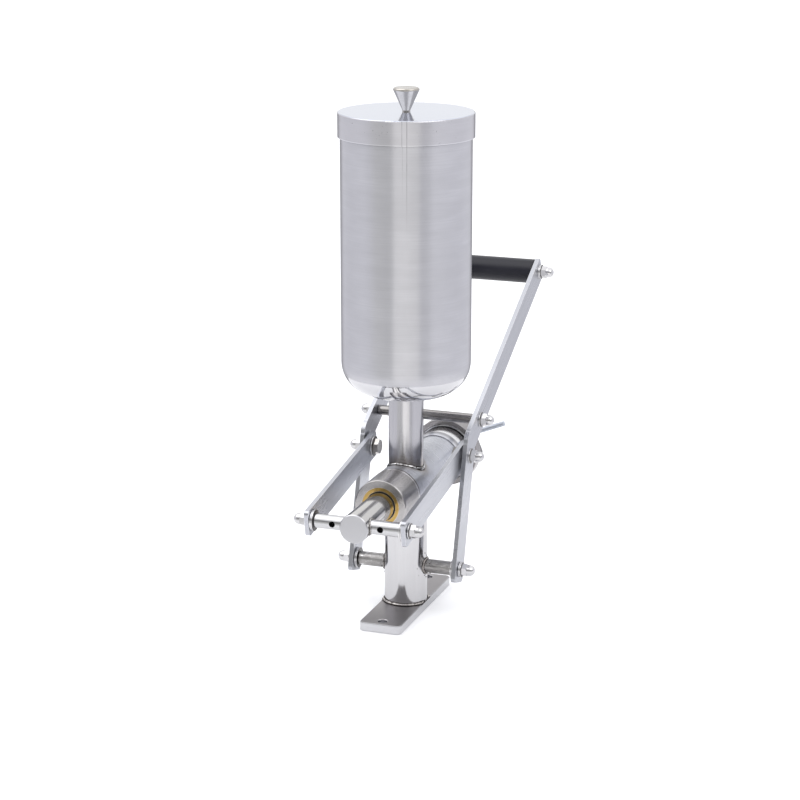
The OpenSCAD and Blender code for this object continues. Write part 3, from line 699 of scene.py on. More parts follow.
# %% Places read from the frame
# The last of these turns brings X onto Z and Z onto X
Y_TO_Z = (math.pi / 2, 0, 0)
Y_TO_X = (0, 0, -math.pi / 2)
SWAP_X_Z = (0, -math.pi / 2, 0)


def middle(name):
    """The middle of a piece's box."""
    low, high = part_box(name)
    return (low + high) / 2


def half(name, axis):
    """Half of a piece's size along "x", "y" or "z"."""
    low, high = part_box(name)
    return (getattr(high, axis) - getattr(low, axis)) / 2


AXIS_Z = middle("barrel").z
BARREL_CENTRE = (0, 0, AXIS_Z)
NECK_R = half("neck", "x")
POST_R = half("post", "x")
BARREL_R = half("barrel", "x")
ROD_R = half("piston_rod", "x")
UPRIGHT = (0, 0, 0)
NECK_TUBE = ((0, 0, 0), UPRIGHT, NECK_R)
POST_TUBE = ((0, 0, 0), UPRIGHT, POST_R)
BARREL_TUBE = (BARREL_CENTRE, Y_TO_Z, BARREL_R)
ROD_TUBE = (BARREL_CENTRE, Y_TO_Z, ROD_R)
print("the barrel's axis is at", round(AXIS_Z, 4))
print("radii of neck, post, barrel and rod:", [round(r, 4) for r in (NECK_R, POST_R, BARREL_R, ROD_R)])

# %% [markdown]
# ### Hopper
# The hopper is rolled sheet, brushed around with a belt, and its dished floor is mirror polished up to a
# clean line. Two thin dark upright lines run down the side that faces the camera, and they are a painted
# reflection. Each is only a narrow mark at one angle around the axis, so it is a mask on the angle and not a
# piece. A thin painted shadow lies where the lid's hem ends, in the gap under it.

# %% Hopper steel
POLISH_LINE = 0.2835
POLISH_FADE = 0.0006
# The painted reflection lines lie at the angle towards the camera
REFLECTION_ANGLE = math.atan2(CAMERA_AT.y, CAMERA_AT.x)
LID_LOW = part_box("lid")[0].z
HOPPER_TUBE = ((0, 0, 0), UPRIGHT, half("hopper", "x"))


def reflection_line_mask(material, offset, width, fade=None):
    """A mask for a painted reflection: an upright line at the angle towards the camera, offset metres to the
    side, that fades between two heights if asked.
    """
    tree = material.node_tree
    vector = object_vector(tree, turn=(0, 0, -REFLECTION_ANGLE))
    at = split(tree, vector)
    away = math_node(tree, "ABSOLUTE", math_node(tree, "SUBTRACT", at["Y"], offset))
    line = smooth_step(tree, away, width, width * 0.3)
    line = math_node(tree, "MULTIPLY", line, math_node(tree, "GREATER_THAN", at["X"], 0.0))
    patchy = ramp_node(tree, noise(tree, vector, 60.0, 3.0), [(0.3, 0.35), (0.6, 1.0)])
    line = math_node(tree, "MULTIPLY", line, patchy)
    if fade:
        line = math_node(tree, "MULTIPLY", line, smooth_step(tree, at["Z"], *fade))
    return line


hopper_steel = metal("hopper_steel", (0.63, 0.63, 0.662), (0.25, 0.36), "ring", density=1300.0,
                     anisotropic=0.85, smudge=0.05, contrast=0.17, streaks=0.55, cloud=0.45)
polished = rise(hopper_steel, "Z", POLISH_LINE + POLISH_FADE, POLISH_LINE - POLISH_FADE)
stain(hopper_steel, polished, (0.66, 0.66, 0.68), 0.05)
# Painted reflection: two thin dark upright lines on the side towards the camera
stain(hopper_steel, reflection_line_mask(hopper_steel, 0.0005, 0.0007, (0.44, 0.55)), (0.38, 0.38, 0.40))
stain(hopper_steel, reflection_line_mask(hopper_steel, -0.0042, 0.0006, (0.47, 0.57)), (0.45, 0.45, 0.47))
# Painted shadow: a thin dark line in the gap under the lid's hem
lid_hem_shadow = tube_mask(hopper_steel, HOPPER_TUBE, 0.0008, 0.2, 0.6)
for start, end in ((-0.0012, -0.0002), (0.0014, 0.0004)):
    edge = rise(hopper_steel, "Z", LID_LOW + start, LID_LOW + end)
    lid_hem_shadow = math_node(hopper_steel.node_tree, "MULTIPLY", lid_hem_shadow, edge)
stain(hopper_steel, lid_hem_shadow, (0.16, 0.16, 0.17))
dress(hopper_steel, "hopper")

# %% [markdown]
# ### Lid
# The lid is a disc with a skirt that slips over the hopper. Its skirt is brushed around and carries a painted
# reflection, two dark upright lines in line with the hopper's. Its hem carries a painted highlight, a bright
# band, and its top is polished until it mirrors the soft box. The top is found by the way its faces look, so
# one material serves the whole lid.

# %% Lid steel
lid_steel = metal("lid_steel", (0.63, 0.625, 0.655), (0.24, 0.34), "ring", density=1300.0, anisotropic=0.8,
                  smudge=0.05, contrast=0.14, edge=0.9)
tree = lid_steel.node_tree
pits = use_group(tree, handling, Vector=object_vector(tree), Scale=11.0)["Speck"]
stain(lid_steel, pits, (0.22, 0.22, 0.23))
# Painted highlight: a bright band along the hem
stain(lid_steel, rise(lid_steel, "Z", LID_LOW + 0.0014, LID_LOW + 0.0006), (0.76, 0.76, 0.79), 0.3)
# Painted reflection: two dark upright lines, in line with the hopper's
stain(lid_steel, reflection_line_mask(lid_steel, 0.0005, 0.0007), (0.34, 0.34, 0.36))
stain(lid_steel, reflection_line_mask(lid_steel, -0.0048, 0.0006), (0.38, 0.38, 0.40))
stain(lid_steel, top_mask(lid_steel), (0.59, 0.625, 0.725), 0.075)
dress(lid_steel, "lid")

# %% [markdown]
# ### Neck and post
# Both are bought as polished tube, so they are close to mirrors, with faint lines along their length.
# Where the barrel was welded on, the heat left a straw tint on the neck and soot on both. At its foot the
# post is dark only on its two sides, where the bead around it is cut off by the plate's edge.

# %% Tube steels
# Soot near the welds, and on the barrel also the painted shadow beside the cap
SCORCH_AND_SHADOW = (0.10, 0.085, 0.08)
STRAW = (0.38, 0.345, 0.32)
PLATE_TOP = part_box("base_plate")[1].z
ACROSS_FOOT = ((0, 0, PLATE_TOP), SWAP_X_Z, 0.0)

neck_steel = metal("neck_steel", (0.575, 0.57, 0.595), (0.14, 0.24), "straight", turn=SWAP_X_Z, density=700.0,
                   depth=0.000004, smudge=0.08, contrast=0.10)
stain(neck_steel, tube_mask(neck_steel, BARREL_TUBE, 0.022, 0.25, 1.0), STRAW)
stain(neck_steel, tube_mask(neck_steel, BARREL_TUBE, 0.005, 0.3, 0.8), SCORCH_AND_SHADOW)
dress(neck_steel, "neck")

post_steel = metal("post_steel", (0.65, 0.645, 0.655), (0.05, 0.12), "straight", turn=SWAP_X_Z, density=420.0,
                   depth=0.000003, smudge=0.08, contrast=0.10)
stain(post_steel, tube_mask(post_steel, ACROSS_FOOT, 0.0042, 0.2, 0.6), SCORCH_AND_SHADOW)
stain(post_steel, tube_mask(post_steel, BARREL_TUBE, 0.006, 0.4, 1.0), SCORCH_AND_SHADOW)
dress(post_steel, "post")

# %% [markdown]
# ### Barrel and front cap
# Both were turned on a lathe and show fine rings around their axis. Seven finishes of this machine are turned
# around that axis, so they share a short function. The barrel has heat marks around the neck, and a painted
# shadow in a dark band beside the cap. The cap's rear rim carries a painted highlight, a nearly white band.
# The shadow and the highlight are bands along the barrel, so each is a mask on one coordinate.

# %% Barrel and cap steels
CAP_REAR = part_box("front_cap")[1].y


def lathe_metal(name, color, rough, **more):
    """A metal turned around the barrel's axis."""
    return metal(name, color, rough, "ring", BARREL_CENTRE, Y_TO_Z, tangent_axis="Y", **more)


barrel_steel = lathe_metal("barrel_steel", (0.60, 0.615, 0.67), (0.20, 0.32), density=900.0, anisotropic=0.6,
                           contrast=0.16, streaks=0.7, cloud=0.4)
stain(barrel_steel, tube_mask(barrel_steel, NECK_TUBE, 0.012, 0.35, 1.0), STRAW)
stain(barrel_steel, tube_mask(barrel_steel, NECK_TUBE, 0.0045, 0.3, 0.8), SCORCH_AND_SHADOW)
# Painted shadow: a dark band on the barrel beside the cap
stain(barrel_steel, rise(barrel_steel, "Y", CAP_REAR + 0.0034, CAP_REAR + 0.0022), SCORCH_AND_SHADOW)
dress(barrel_steel, "barrel")

cap_steel = lathe_metal("cap_steel", (0.50, 0.485, 0.485), (0.16, 0.28), density=1500.0, anisotropic=0.5,
                        edge=1.0, contrast=0.16)
# Painted highlight: a nearly white band on the cap's rear rim
stain(cap_steel, rise(cap_steel, "Y", CAP_REAR - 0.0030, CAP_REAR - 0.0022), (0.93, 0.93, 0.94), 0.2)
dress(cap_steel, "front_cap")

# %% [markdown]
# ### Collar, union nut and nozzle
# They are turned too, each with its own last cut. The collar is bright, and its taper in front is rougher and
# carries a painted dark reflection. The union nut is darker, and darker still behind its ring, on the
# hexagon. Its handle rod is left dull.

# %% Union steels
HEX_FRONT = 0.154
COLLAR_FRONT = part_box("barrel_collar")[0].y
TAPER_LENGTH = 0.0075
TAPER_END = COLLAR_FRONT + TAPER_LENGTH

turned_steel = lathe_metal("turned_steel", (0.60, 0.60, 0.605), (0.12, 0.24), density=1800.0,
                           anisotropic=0.4, edge=0.8, contrast=0.14)
dress(turned_steel, "nozzle_body", "nozzle_tube")

union_steel = lathe_metal("union_steel", (0.37, 0.355, 0.36), (0.12, 0.24), density=1800.0, edge=0.8,
                          contrast=0.2)
stain(union_steel, rise(union_steel, "Y", HEX_FRONT - 0.0004, HEX_FRONT + 0.0004), (0.25, 0.24, 0.245))
dress(union_steel, "nozzle_nut")
dress(metal("handle_rod_steel", (0.60, 0.635, 0.70), (0.46, 0.56), smudge=0.05), "nozzle_nut_handle")

collar_steel = lathe_metal("collar_steel", (0.82, 0.82, 0.84), (0.07, 0.14), density=1800.0, edge=0.8,
                           contrast=0.08)
# Painted reflection: the taper in front of the collar is darkened
taper = rise(collar_steel, "Y", TAPER_END + 0.0012, TAPER_END - 0.0012)
stain(collar_steel, taper, (0.33, 0.33, 0.345), 0.24)
toe = rise(collar_steel, "Y", COLLAR_FRONT + 0.0050, COLLAR_FRONT + 0.0005)
stain(collar_steel, toe, (0.58, 0.585, 0.62), 0.24)
dress(collar_steel, "barrel_collar")

# %% [markdown]
# ### Piston rod and brass bush
# The rod slides through the bush, so it is the brightest turned piece, but its flat front face was only faced
# off and is dull. The bush is brass, the one warm colour of the machine, with a painted shadow, a black line,
# in the gap where the rod goes in.

# %% Rod steel and brass
rod_steel = lathe_metal("rod_steel", (0.62, 0.61, 0.60), (0.06, 0.14), density=2200.0, edge=0.6,
                        contrast=0.10)
front_face = math_node(rod_steel.node_tree, "LESS_THAN", facing(rod_steel, "Y"), -LOOKS_ALONG)
stain(rod_steel, front_face, (0.56, 0.56, 0.58), 0.30)
dress(rod_steel, "piston_rod")

brass = lathe_metal("brass", (0.58, 0.39, 0.13), (0.12, 0.26), density=1500.0, edge=0.6, contrast=0.2)
# Painted shadow: a black line in the gap where the rod enters the bush
stain(brass, tube_mask(brass, ROD_TUBE, 0.0022, 0.35, 0.9), (0.10, 0.07, 0.03), 0.5)
dress(brass, "rod_bush")

# %% [markdown]
# ### Links and levers
# They are flat bar, brushed along its length. The brush lines have to follow each bar's own slope, or the
# bar reads as cut from a sheet, so the coordinates are turned by the slope of the line between two of its
# pins. The lever is bent, and its lines follow the long upper arm.

# %% Flat bars
BAR_COLOR = (0.55, 0.56, 0.60)


def along_slope(name, from_pin, to_pin):
    """Flat bar brushed along the line that rises from one pin to the next in the YZ plane."""
    run = middle(to_pin) - middle(from_pin)
    slope = math.atan2(run.z, run.y)
    print(name, "rises by", round(math.degrees(slope), 1), "degrees")
    return metal(name, BAR_COLOR, (0.20, 0.34), "straight", turn=(-slope, 0, Y_TO_X[2]), density=1100.0,
                 edge=0.9, contrast=0.16)


dress(along_slope("link_steel", "crossbar_nuts", "link_nuts"), "left_link", "right_link")
dress(along_slope("lever_steel", "upper_crossbar_nuts", "handle_nuts"), "left_lever", "right_lever")

# %% [markdown]
# ### Round bars
# They are drawn bar, with long fine scratches. The crosshead bar has two cross holes, painted black inside as
# shade, which a plain bore in polished steel would not be. The lever shaft was left as it came from the mill,
# so dark and light patches of scale, stretched along the bar, are laid over it.

# %% Round bars
HOLE_R = 0.00355
HOLE_X = 0.028
SCALE_STRETCH = (0.35, 1.0, 1.0)

drawn_bar = metal("drawn_bar", (0.63, 0.63, 0.64), (0.12, 0.24), "straight", density=1600.0, edge=0.5,
                  contrast=0.16)
tree = drawn_bar.node_tree
# Painted shade: the two cross holes are made black inside
for side in (-1, 1):
    across = object_vector(tree, (side * HOLE_X, 0, AXIS_Z), Y_TO_Z)
    inside = use_group(tree, tube_near, Vector=across, Radius=0.0, Reach=HOLE_R)["Near"]
    stain(drawn_bar, math_node(tree, "GREATER_THAN", inside, 0.0), (0.012, 0.012, 0.014), 0.8)
dress(drawn_bar, "front_crossbar", "handle_rod")
brace_steel = metal("brace_steel", (0.40, 0.385, 0.38), (0.14, 0.28), "straight", density=1100.0, edge=0.5,
                    contrast=0.35, streaks=1.2)
dress(brace_steel, "upper_crossbar")

raw_bar = metal("raw_bar", (0.50, 0.485, 0.475), (0.22, 0.42), "straight", density=500.0, depth=0.00008,
                smudge=0.2, contrast=0.3, streaks=0.5)
tree = raw_bar.node_tree
stretched = vector_node(tree, "MULTIPLY", object_vector(tree), SCALE_STRETCH).outputs[0]
dark_scale = ramp_node(tree, noise(tree, stretched, 330.0, 4.0, 0.7), [(0.47, 0.0), (0.62, 0.6)])
stain(raw_bar, dark_scale, (0.19, 0.18, 0.18), 0.5)
light_scale = ramp_node(tree, noise(tree, stretched, 520.0, 3.0, 0.6), [(0.60, 0.0), (0.70, 0.9)])
stain(raw_bar, light_scale, (0.85, 0.85, 0.86), 0.2)
dress(raw_bar, "lever_shaft")

# %% [markdown]
# ### Fasteners and knob
# Cap nuts are bought polished and are nearly chrome bright. The bolts and the knob were turned and
# handled, so they are a little darker and warmer. None of them shows brush lines at this size, so their
# shade follows the smudges.

# %% Fasteners and knob
dress(metal("bright_fastener", (0.64, 0.635, 0.645), (0.05, 0.14), smudge=0.05),
      "shaft_nuts", "crossbar_nuts", "upper_crossbar_nuts", "handle_nuts", "link_nuts")
dress(metal("knob_steel", (0.50, 0.475, 0.44), (0.10, 0.20), smudge=0.08), "lid_knob")
dress(metal("bolt_steel", (0.46, 0.44, 0.42), (0.14, 0.30), smudge=0.10, edge=0.8, contrast=0.2),
      "link_bolts", "knob_screw")

# %% [markdown]
# ### Base plate
# The plate is ground along its length on top, dark enough to show the post's foot in it, and its flanks
# were cut cleanly and polished, so they catch the bench. Soot lies in a ring around the post.

# %% Plate steel
plate_steel = metal("plate_steel", (0.345, 0.33, 0.34), (0.30, 0.40), "straight", turn=Y_TO_X,
                    density=900.0, depth=0.000008, edge=1.0, contrast=0.16)
stain(plate_steel, tube_mask(plate_steel, POST_TUBE, 0.0055, 0.2, 0.6), (0.05, 0.045, 0.04))
flank = math_node(plate_steel.node_tree, "SUBTRACT", 1.0, top_mask(plate_steel))
stain(plate_steel, flank, (0.66, 0.66, 0.68), 0.16)
dress(plate_steel, "base_plate")

# %% [markdown]
# ### Grip, seals and piston
# The grip is moulded black plastic with a satin skin. The seals are matt rubber, and the piston head is
# white food-grade plastic, turned. All of them are soft to the eye in the same way: a fine grain, and
# smudges that change the shine, so one function makes them.

# %% Plastic and rubber
SOFT_BUMP = 0.5
SHINE = 0.4
PALER = 1.25
DUST = 0.004
SMUDGE_DULL = 0.10


def soft_material(name, color, rough, grain, depth):
    """Plastic or rubber with a fine moulded grain."""
    material = new_material(name)
    tree = material.node_tree
    shader = shader_of(material)
    vector = object_vector(tree)
    smudges = use_group(tree, handling, Vector=vector, Scale=20.0)["Smudge"]
    paler = tuple(min(1.0, c * PALER + DUST) for c in color)
    link(tree, mix_color(tree, smudges, color, paler), shader.inputs["Base Color"])
    link(tree, math_node(tree, "MULTIPLY_ADD", smudges, SMUDGE_DULL, rough), shader.inputs["Roughness"])
    shader.inputs["Specular IOR Level"].default_value = SHINE
    grain_bump(tree, shader, noise(tree, vector, grain, 2.0), SOFT_BUMP, depth)
    return material


dress(soft_material("grip_plastic", (0.006, 0.006, 0.0125), 0.32, 2600.0, 0.00004), "handle_grip")
dress(soft_material("seal_rubber", (0.02, 0.02, 0.02), 0.55, 1800.0, 0.00003),
      "rod_seal", "piston_seals", "nozzle_gasket")
dress(soft_material("piston_plastic", (0.80, 0.80, 0.77), 0.38, 1200.0, 0.00002), "piston_head")

# %% [markdown]
# ## Weld beads
# Each tube on this machine is joined by a hand-laid bead: a row of ripples, bright on its crest and black
# in its two roots. The frame has plain rings there. The ripples could be painted on with bump, but a bead
# shows at the outline too, so each is a real ring. A torus is added, every third of its rings is swollen
# in Edit Mode, the points are shaken a little, and the ring is then laid on the saddle where the two
# tubes meet. The first helper enters Edit Mode with only some points, edges or faces chosen, because an
# operator acts on all that is selected.

# %% Choosing in Edit Mode


def edit(obj, kind, chosen):
    """Enters Edit Mode on an object with only the chosen points, edges or faces selected."""
    deselect()
    obj.select_set(True)
    bpy.context.view_layer.objects.active = obj
    bpy.ops.object.mode_set(mode="EDIT")
    bpy.ops.mesh.select_mode(type=kind)
    bpy.ops.mesh.select_all(action="DESELECT")
    bpy.ops.object.mode_set(mode="OBJECT")
    parts = {"VERT": obj.data.vertices, "EDGE": obj.data.edges, "FACE": obj.data.polygons}[kind]
    for part in parts:
        part.select = chosen(part)
    bpy.ops.object.mode_set(mode="EDIT")


# %% [markdown]
# ### One ring of weld
# The hand moves on a little with each drop of metal, so a bead is a row of equal ripples with small
# faults. Both are made from one torus: the swollen rings are the ripples, and the shaking gives the
# faults. Noise in a Displace modifier could do both at once, but then the ripples would not follow the
# ring.

# %% One ring of weld
BEAD_SIDES = 10
RINGS_PER_RIPPLE = 3


def bead(name, major, minor, ripples, swell=0.00022, shake=0.00012):
    """A rippled ring of weld around the Z axis, at the origin."""
    deselect()
    bpy.ops.mesh.primitive_torus_add(
        major_segments=ripples * RINGS_PER_RIPPLE, minor_segments=BEAD_SIDES,
        major_radius=major, minor_radius=minor,
    )
    ring = bpy.context.object
    ring.name = name
    bpy.ops.object.shade_smooth()
    edit(ring, "VERT", lambda point: point.index // BEAD_SIDES % RINGS_PER_RIPPLE == 0)
    bpy.ops.transform.shrink_fatten(value=swell)
    bpy.ops.mesh.select_all(action="SELECT")
    bpy.ops.transform.vertex_random(offset=shake, seed=ripples)
    bpy.ops.object.mode_set(mode="OBJECT")
    return ring


# %% [markdown]
# ### Laying, joining and placing
# A ring is made flat at the origin and then laid where it belongs, point by point, so its object stays at
# the origin as the frame's own pieces do. Rings of one joint are joined, because they move together.

# %% Laying, joining and placing


def lay(ring, place):
    """Moves every point of a ring to place(point), so that it lies on a saddle."""
    for point in ring.data.vertices:
        point.co = place(point.co)


def joined(name, pieces):
    """Joins pieces into one object."""
    deselect()
    for piece in pieces:
        piece.select_set(True)
    bpy.context.view_layer.objects.active = pieces[0]
    bpy.ops.object.join()
    pieces[0].name = name
    return pieces[0]


def place_piece(obj, material, body, slot, *stands_for):
    """Dresses a new piece, lets it ride a body, hides the CAD nodes that it stands for and prints their
    names.
    """
    obj.data.materials.clear()
    obj.data.materials.append(material)
    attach(obj, body)
    if stands_for:
        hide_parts(*stands_for)
    print(obj.name, len(obj.data.polygons), "faces, for", ", ".join(stands_for) or "no CAD node")


# %% [markdown]
# ### Weld metal
# A bead's crest shines like wet metal, soot burns on in patches, and the two roots stay black because no
# brush reaches them. The roots are where the bead comes close to the skins that it joins, so the mask on
# the distance from a tube serves again, and a bead on the flat plate is dark near the plate's height.

# %% Weld metal
SOOT = (0.035, 0.030, 0.028)


def weld_material(name, crest, rough, roots, reach=0.0009, floor_z=None, burnt=0.60):
    """Bead steel, black close to the tubes in roots, and sooty where the noise passes burnt."""
    material = metal(name, crest, rough, smudge=0.10, contrast=0.35)
    tree = material.node_tree
    patchy = noise(tree, object_vector(tree), 380.0, 4.0, 0.65)
    stain(material, ramp_node(tree, patchy, [(burnt - 0.05, 0.0), (burnt, 0.9)]), SOOT, 0.45)
    for tube in roots:
        stain(material, tube_mask(material, tube, reach, 0.15, 0.75), SOOT, 0.5)
    if floor_z is not None:
        stain(material, rise(material, "Z", floor_z + reach, floor_z + reach * 0.3), SOOT, 0.5)
    return material


# %% [markdown]
# ### Beads at the neck, the barrel and the hopper
# The neck and the post meet the barrel in a saddle, so each ring is lifted or dropped onto the barrel's
# round skin point by point. The hopper's bead is a level ring and the finest of the three. The neck's
# bead was laid in the coarsest ripples, and it is the brightest.

# %% Beads at the neck, the barrel and the hopper
BEAD_R = 0.0015


def on_saddle(radius, sign):
    """Lays a level ring on a barrel of that radius, on top (1) or below (-1)."""
    def place(p):
        return Vector((p.x, p.y, AXIS_Z + sign * math.sqrt(radius ** 2 - p.x ** 2) + p.z))
    return place


neck_bead = bead("neck_bead", NECK_R + 0.0003, BEAD_R, ripples=26, swell=0.0005, shake=0.0006)
lay(neck_bead, on_saddle(BARREL_R + 0.0003, 1))
bright_weld = weld_material("bright_weld", (0.86, 0.85, 0.84), (0.08, 0.22), [NECK_TUBE, BARREL_TUBE],
                            reach=0.0010, burnt=0.56)
place_piece(neck_bead, bright_weld, "frame", "weld", "neck_weld")

post_bead = bead("post_bead", POST_R + 0.0004, BEAD_R, ripples=42)
lay(post_bead, on_saddle(BARREL_R + 0.0001, -1))
post_weld = weld_material("post_weld_steel", (0.60, 0.58, 0.56), (0.14, 0.30), [POST_TUBE, BARREL_TUBE])
place_piece(post_bead, post_weld, "frame", "weld", "post_weld")

hopper_bead = bead("hopper_bead", NECK_R + 0.0005, 0.0009, ripples=34, swell=0.00012, shake=0.00006)
HOPPER_BEAD_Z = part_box("hopper_weld")[1].z - 0.0005
lay(hopper_bead, lambda p: Vector((p.x, p.y, p.z + HOPPER_BEAD_Z)))
place_piece(hopper_bead, post_weld, "frame", "weld", "hopper_weld")

# %% [markdown]
# ### Bead around the post's foot
# It is the thickest and sootiest bead. The post is as wide as the plate, so a whole ring would hang over
# the plate's edges. The welder stopped there, and the ring is cut a little inside both edges with bisect,
# which also closes the cuts.

# %% Bead around the post's foot
PLATE_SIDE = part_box("base_plate")[1].x
STOP_SHORT = 0.0002

foot_bead = bead("foot_bead", POST_R + 0.0010, 0.0021, ripples=40, swell=0.00030, shake=0.00022)
lay(foot_bead, lambda p: Vector((p.x, p.y, p.z + PLATE_TOP + 0.0003)))
for side in (-1, 1):
    edit(foot_bead, "VERT", lambda point: True)
    bpy.ops.mesh.bisect(plane_co=(side * (PLATE_SIDE - STOP_SHORT), 0, 0), plane_no=(side, 0, 0),
                        clear_outer=True, use_fill=True)
    bpy.ops.object.mode_set(mode="OBJECT")
foot_weld = weld_material("foot_weld_steel", (0.62, 0.59, 0.57), (0.14, 0.30), [POST_TUBE], reach=0.0020,
                          floor_z=PLATE_TOP)
place_piece(foot_bead, foot_weld, "frame", "weld", "base_weld")

# %% [markdown]
# ### Beads on the lever shaft and the crosshead bar
# Each bar goes through a tube and is welded on both sides, so a ring is made twice, turned to face along
# X and pushed out onto the tube's skin. For the shaft that skin is the upright post, for the crosshead
# bar the level piston rod.

# %% Beads on the lever shaft and the crosshead bar
PIVOT = middle("shaft_nuts")
CROSSHEAD = middle("crossbar_nuts")
SHAFT_R = half("lever_shaft", "z")
SHAFT_TUBE = (tuple(PIVOT), SWAP_X_Z, SHAFT_R)
CROSSHEAD_TUBE = (tuple(CROSSHEAD), SWAP_X_Z, SHAFT_R)


def side_beads(name, radius, minor, ripples, centre, host_r, host_axis):
    """Two beads where a bar along X leaves an upright ("Z") or level ("Y") tube, one on each side."""
    made = []
    for side in (-1, 1):
        ring = bead(name, radius, minor, ripples, swell=0.00035, shake=0.00035)
        deselect()
        ring.select_set(True)
        bpy.context.view_layer.objects.active = ring
        bpy.ops.transform.rotate(value=math.pi / 2, orient_axis="Y", center_override=(0, 0, 0))
        bpy.ops.object.transform_apply(location=True, rotation=True, scale=True)

        def place(p):
            along = p.y if host_axis == "Z" else p.z
            reach = math.sqrt(host_r ** 2 - along ** 2)
            return Vector((p.x + side * reach, p.y + centre.y, p.z + centre.z))
        lay(ring, place)
        made.append(ring)
    return joined(name, made)


shaft_beads = side_beads("shaft_beads", SHAFT_R + 0.0006, 0.0017, 13, PIVOT, POST_R, "Z")
shaft_weld = weld_material("shaft_weld_steel", (0.44, 0.41, 0.39), (0.14, 0.40), [POST_TUBE, SHAFT_TUBE],
                           reach=0.0012)
place_piece(shaft_beads, shaft_weld, "frame", "weld", "shaft_weld")

bar_beads = side_beads("bar_beads", SHAFT_R + 0.0005, 0.0012, 15, CROSSHEAD, ROD_R, "Y")
bar_weld = weld_material("bar_weld_steel", (0.60, 0.58, 0.56), (0.12, 0.30), [ROD_TUBE, CROSSHEAD_TUBE])
place_piece(bar_beads, bar_weld, "piston", "weld", "crossbar_weld")

# %% [markdown]
# ### Weld spatter
# The shaft was welded in a hurry, and small beads of metal stuck to the post and the shaft around the
# joint. Each is a little ball, half sunk in the skin: every second one on the post, the others on the
# shaft. They are scattered from a fixed seed and joined into one piece.

# %% Spatter
SPATTER = 34
BALL_R = (0.0003, 0.0008)
OFF_SHAFT = (0.003, 0.009)
OFF_POST = (0.002, 0.012)
random.seed(7)

balls = []
for count in range(SPATTER):
    side = random.choice((-1, 1, 1))
    size = random.uniform(*BALL_R)
    turn_by = random.uniform(0, math.tau)
    if count % 2:
        off = SHAFT_R + random.uniform(*OFF_SHAFT)
        along = math.cos(turn_by) * off
        spot = Vector((side * math.sqrt(POST_R ** 2 - along ** 2), along, PIVOT.z + math.sin(turn_by) * off))
    else:
        out = POST_R + random.uniform(*OFF_POST)
        spot = Vector((side * out, math.cos(turn_by) * SHAFT_R, PIVOT.z + math.sin(turn_by) * SHAFT_R))
    bpy.ops.mesh.primitive_ico_sphere_add(subdivisions=2, radius=size, location=spot)
    bpy.ops.object.shade_smooth()
    balls.append(bpy.context.object)
spatter = joined("weld_spatter", balls)
bpy.ops.object.transform_apply(location=True, rotation=True, scale=True)
place_piece(spatter, shaft_weld, "frame", "weld")

# %% [markdown]
# ## Washers
# A washer is punched from sheet: its rim is rounded and bright, and its flat faces are dull and painted dark
# as the shade in the gaps of a stack, so a stack of them reads as a row of thin dark and light lines. The
# frame's washers have sharp edges, so they are made again. A cylinder is added, both of its ends are inset
# down to the bore, the two inner faces are bridged into a hole, and the outer edges are bevelled. A profile
# could be spun instead, but this way the bore and the bevel stay easy to change.

# %% One washer
WASHER_T = 0.0016
BORE_R = 0.0043
RIM_SIDES = 48
RIM_BEVEL = 0.00042
END_FACE = 0.9
AT_RIM = 0.98


def washer(radius, place):
    """A washer around the X axis whose inner face is at place, on the side that place.x points to."""
    deselect()
    middle_at = Vector(place) + Vector((math.copysign(WASHER_T / 2, place[0]), 0, 0))
    bpy.ops.mesh.primitive_cylinder_add(vertices=RIM_SIDES, radius=radius, depth=WASHER_T, location=middle_at,
                                        rotation=(0, math.pi / 2, 0))
    ring = bpy.context.object
    bpy.ops.object.transform_apply(location=True, rotation=True, scale=True)
    edit(ring, "FACE", lambda face: abs(face.normal.x) > END_FACE)
    bpy.ops.mesh.inset(thickness=radius - BORE_R)
    bpy.ops.object.mode_set(mode="OBJECT")
    # The two inner faces are the only ones on the ends that still have more than four corners
    edit(ring, "FACE", lambda face: abs(face.normal.x) > END_FACE and len(face.vertices) > 4)
    bpy.ops.mesh.bridge_edge_loops()
    bpy.ops.object.mode_set(mode="OBJECT")

    def on_rim(edge):
        ends = [ring.data.vertices[i].co - middle_at for i in edge.vertices]
        return (all(math.hypot(end.y, end.z) > radius * AT_RIM for end in ends)
                and abs(ends[0].x - ends[1].x) < WASHER_T / 2)
    edit(ring, "EDGE", on_rim)
    bpy.ops.mesh.bevel(offset=RIM_BEVEL, segments=2, affect="EDGES")
    bpy.ops.object.mode_set(mode="OBJECT")
    bpy.ops.object.shade_smooth_by_angle(angle=math.radians(50))
    return ring


# %% [markdown]
# ### Washer steel
# The rim is bright, and the punched faces are dull and carry a painted shade, the dark of the gaps between
# stacked washers. A face is told from the rim by how far it looks along X, and the soft step between the two
# lets the rounded edge fade from one to the other.

# %% Washer steel
FACE_SHADE = (0.16, 0.155, 0.155)

washer_steel = metal("washer_steel", (0.78, 0.775, 0.78), (0.10, 0.22), smudge=0.08, contrast=0.12)
tree = washer_steel.node_tree
sideways = math_node(tree, "ABSOLUTE", facing(washer_steel, "X"))
# Painted shade: the flat faces are made dark, as the gaps in a stack
stain(washer_steel, smooth_step(tree, sideways, 0.45, 0.92), FACE_SHADE, 0.35)

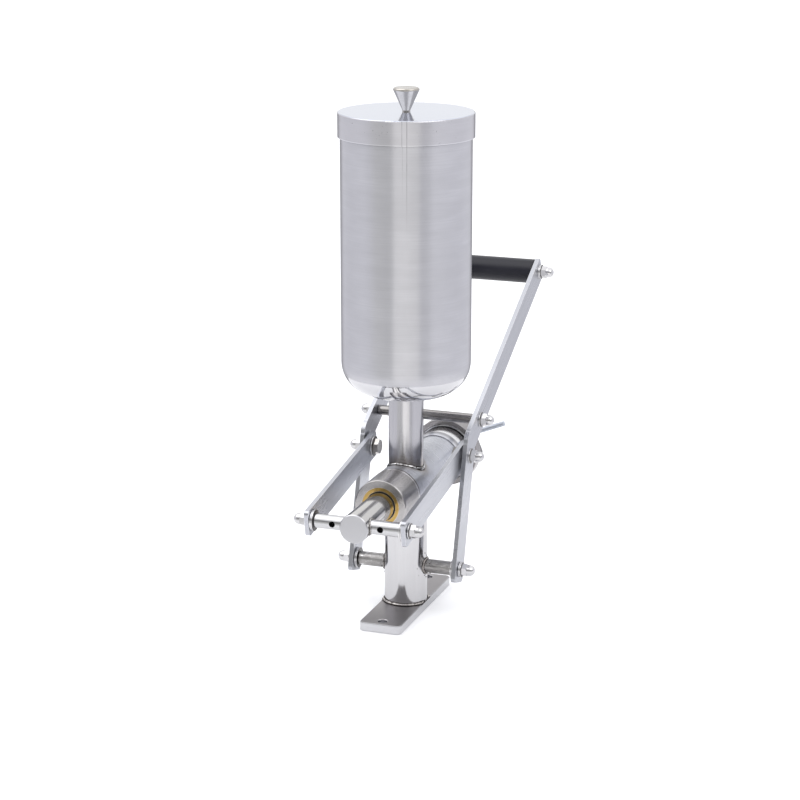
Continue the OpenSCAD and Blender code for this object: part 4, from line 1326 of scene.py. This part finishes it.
# %% [markdown]
# ### Washers in their places
# Every joint has its own stack, the same on both sides of the machine: large washers inside the bar,
# small ones outside it under the cap nut. Their places along X follow from the faces of the bars, so that
# no washer can drift into its neighbour. Where a bar turns, a small gap is left beside it. One more small
# washer sits between each link and its lever. The axes of the shaft and the crosshead are known from
# their nuts, and those of the other three pins are written down as Y and Z.

# %% Washers in their places
SMALL_R = 0.009
LARGE_R = 0.012
TURN_GAP = 0.0003
LINK_PIN = (0.03647, 0.17964)
BRACE = (0.07391, 0.21319)
GRIP = (0.3106, 0.3412)
link_in, link_out = [corner.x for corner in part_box("right_link")]
lever_in, lever_out = [corner.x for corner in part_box("right_lever")]

# Rows of radius, inner face of the first washer, and how many lie there
STACKS = {
    "shaft_washers": ("frame", PIVOT.yz, [(LARGE_R, lever_in - TURN_GAP - 2 * WASHER_T, 2),
                                          (SMALL_R, lever_out + TURN_GAP, 2)]),
    "crossbar_washers": ("piston", CROSSHEAD.yz, [(LARGE_R, link_in - TURN_GAP - 2 * WASHER_T, 2),
                                                  (SMALL_R, link_out + TURN_GAP, 1)]),
    "upper_crossbar_washers": ("lever", BRACE, [(SMALL_R, lever_out, 1)]),
    "handle_washers": ("lever", GRIP, [(SMALL_R, lever_out, 2)]),
    "link_washers": ("lever", LINK_PIN, [(LARGE_R, link_in - TURN_GAP - WASHER_T, 1),
                                         (SMALL_R, lever_in - WASHER_T, 1), (SMALL_R, lever_out, 1)]),
}
for node, (body, (pin_y, pin_z), rows) in STACKS.items():
    rings = []
    for radius, first, count in rows:
        for step in range(count):
            for side in (-1, 1):
                rings.append(washer(radius, (side * (first + step * WASHER_T), pin_y, pin_z)))
    stack = joined(node.replace("washers", "washer_rings"), rings)
    place_piece(stack, washer_steel, body, "fastener", node)
    reach = max(point.co.x for point in stack.data.vertices)
    print("half width", round(reach, 5), "and the frame's", round(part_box(node)[1].x, 5))

# %% [markdown]
# ## Measure and finish
# The dressed machine must stay inside the frame's own box, so its size is printed at the end.

# %% Finish
low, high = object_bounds()
print("size", [round(b - a, 4) for a, b in zip(low, high)])
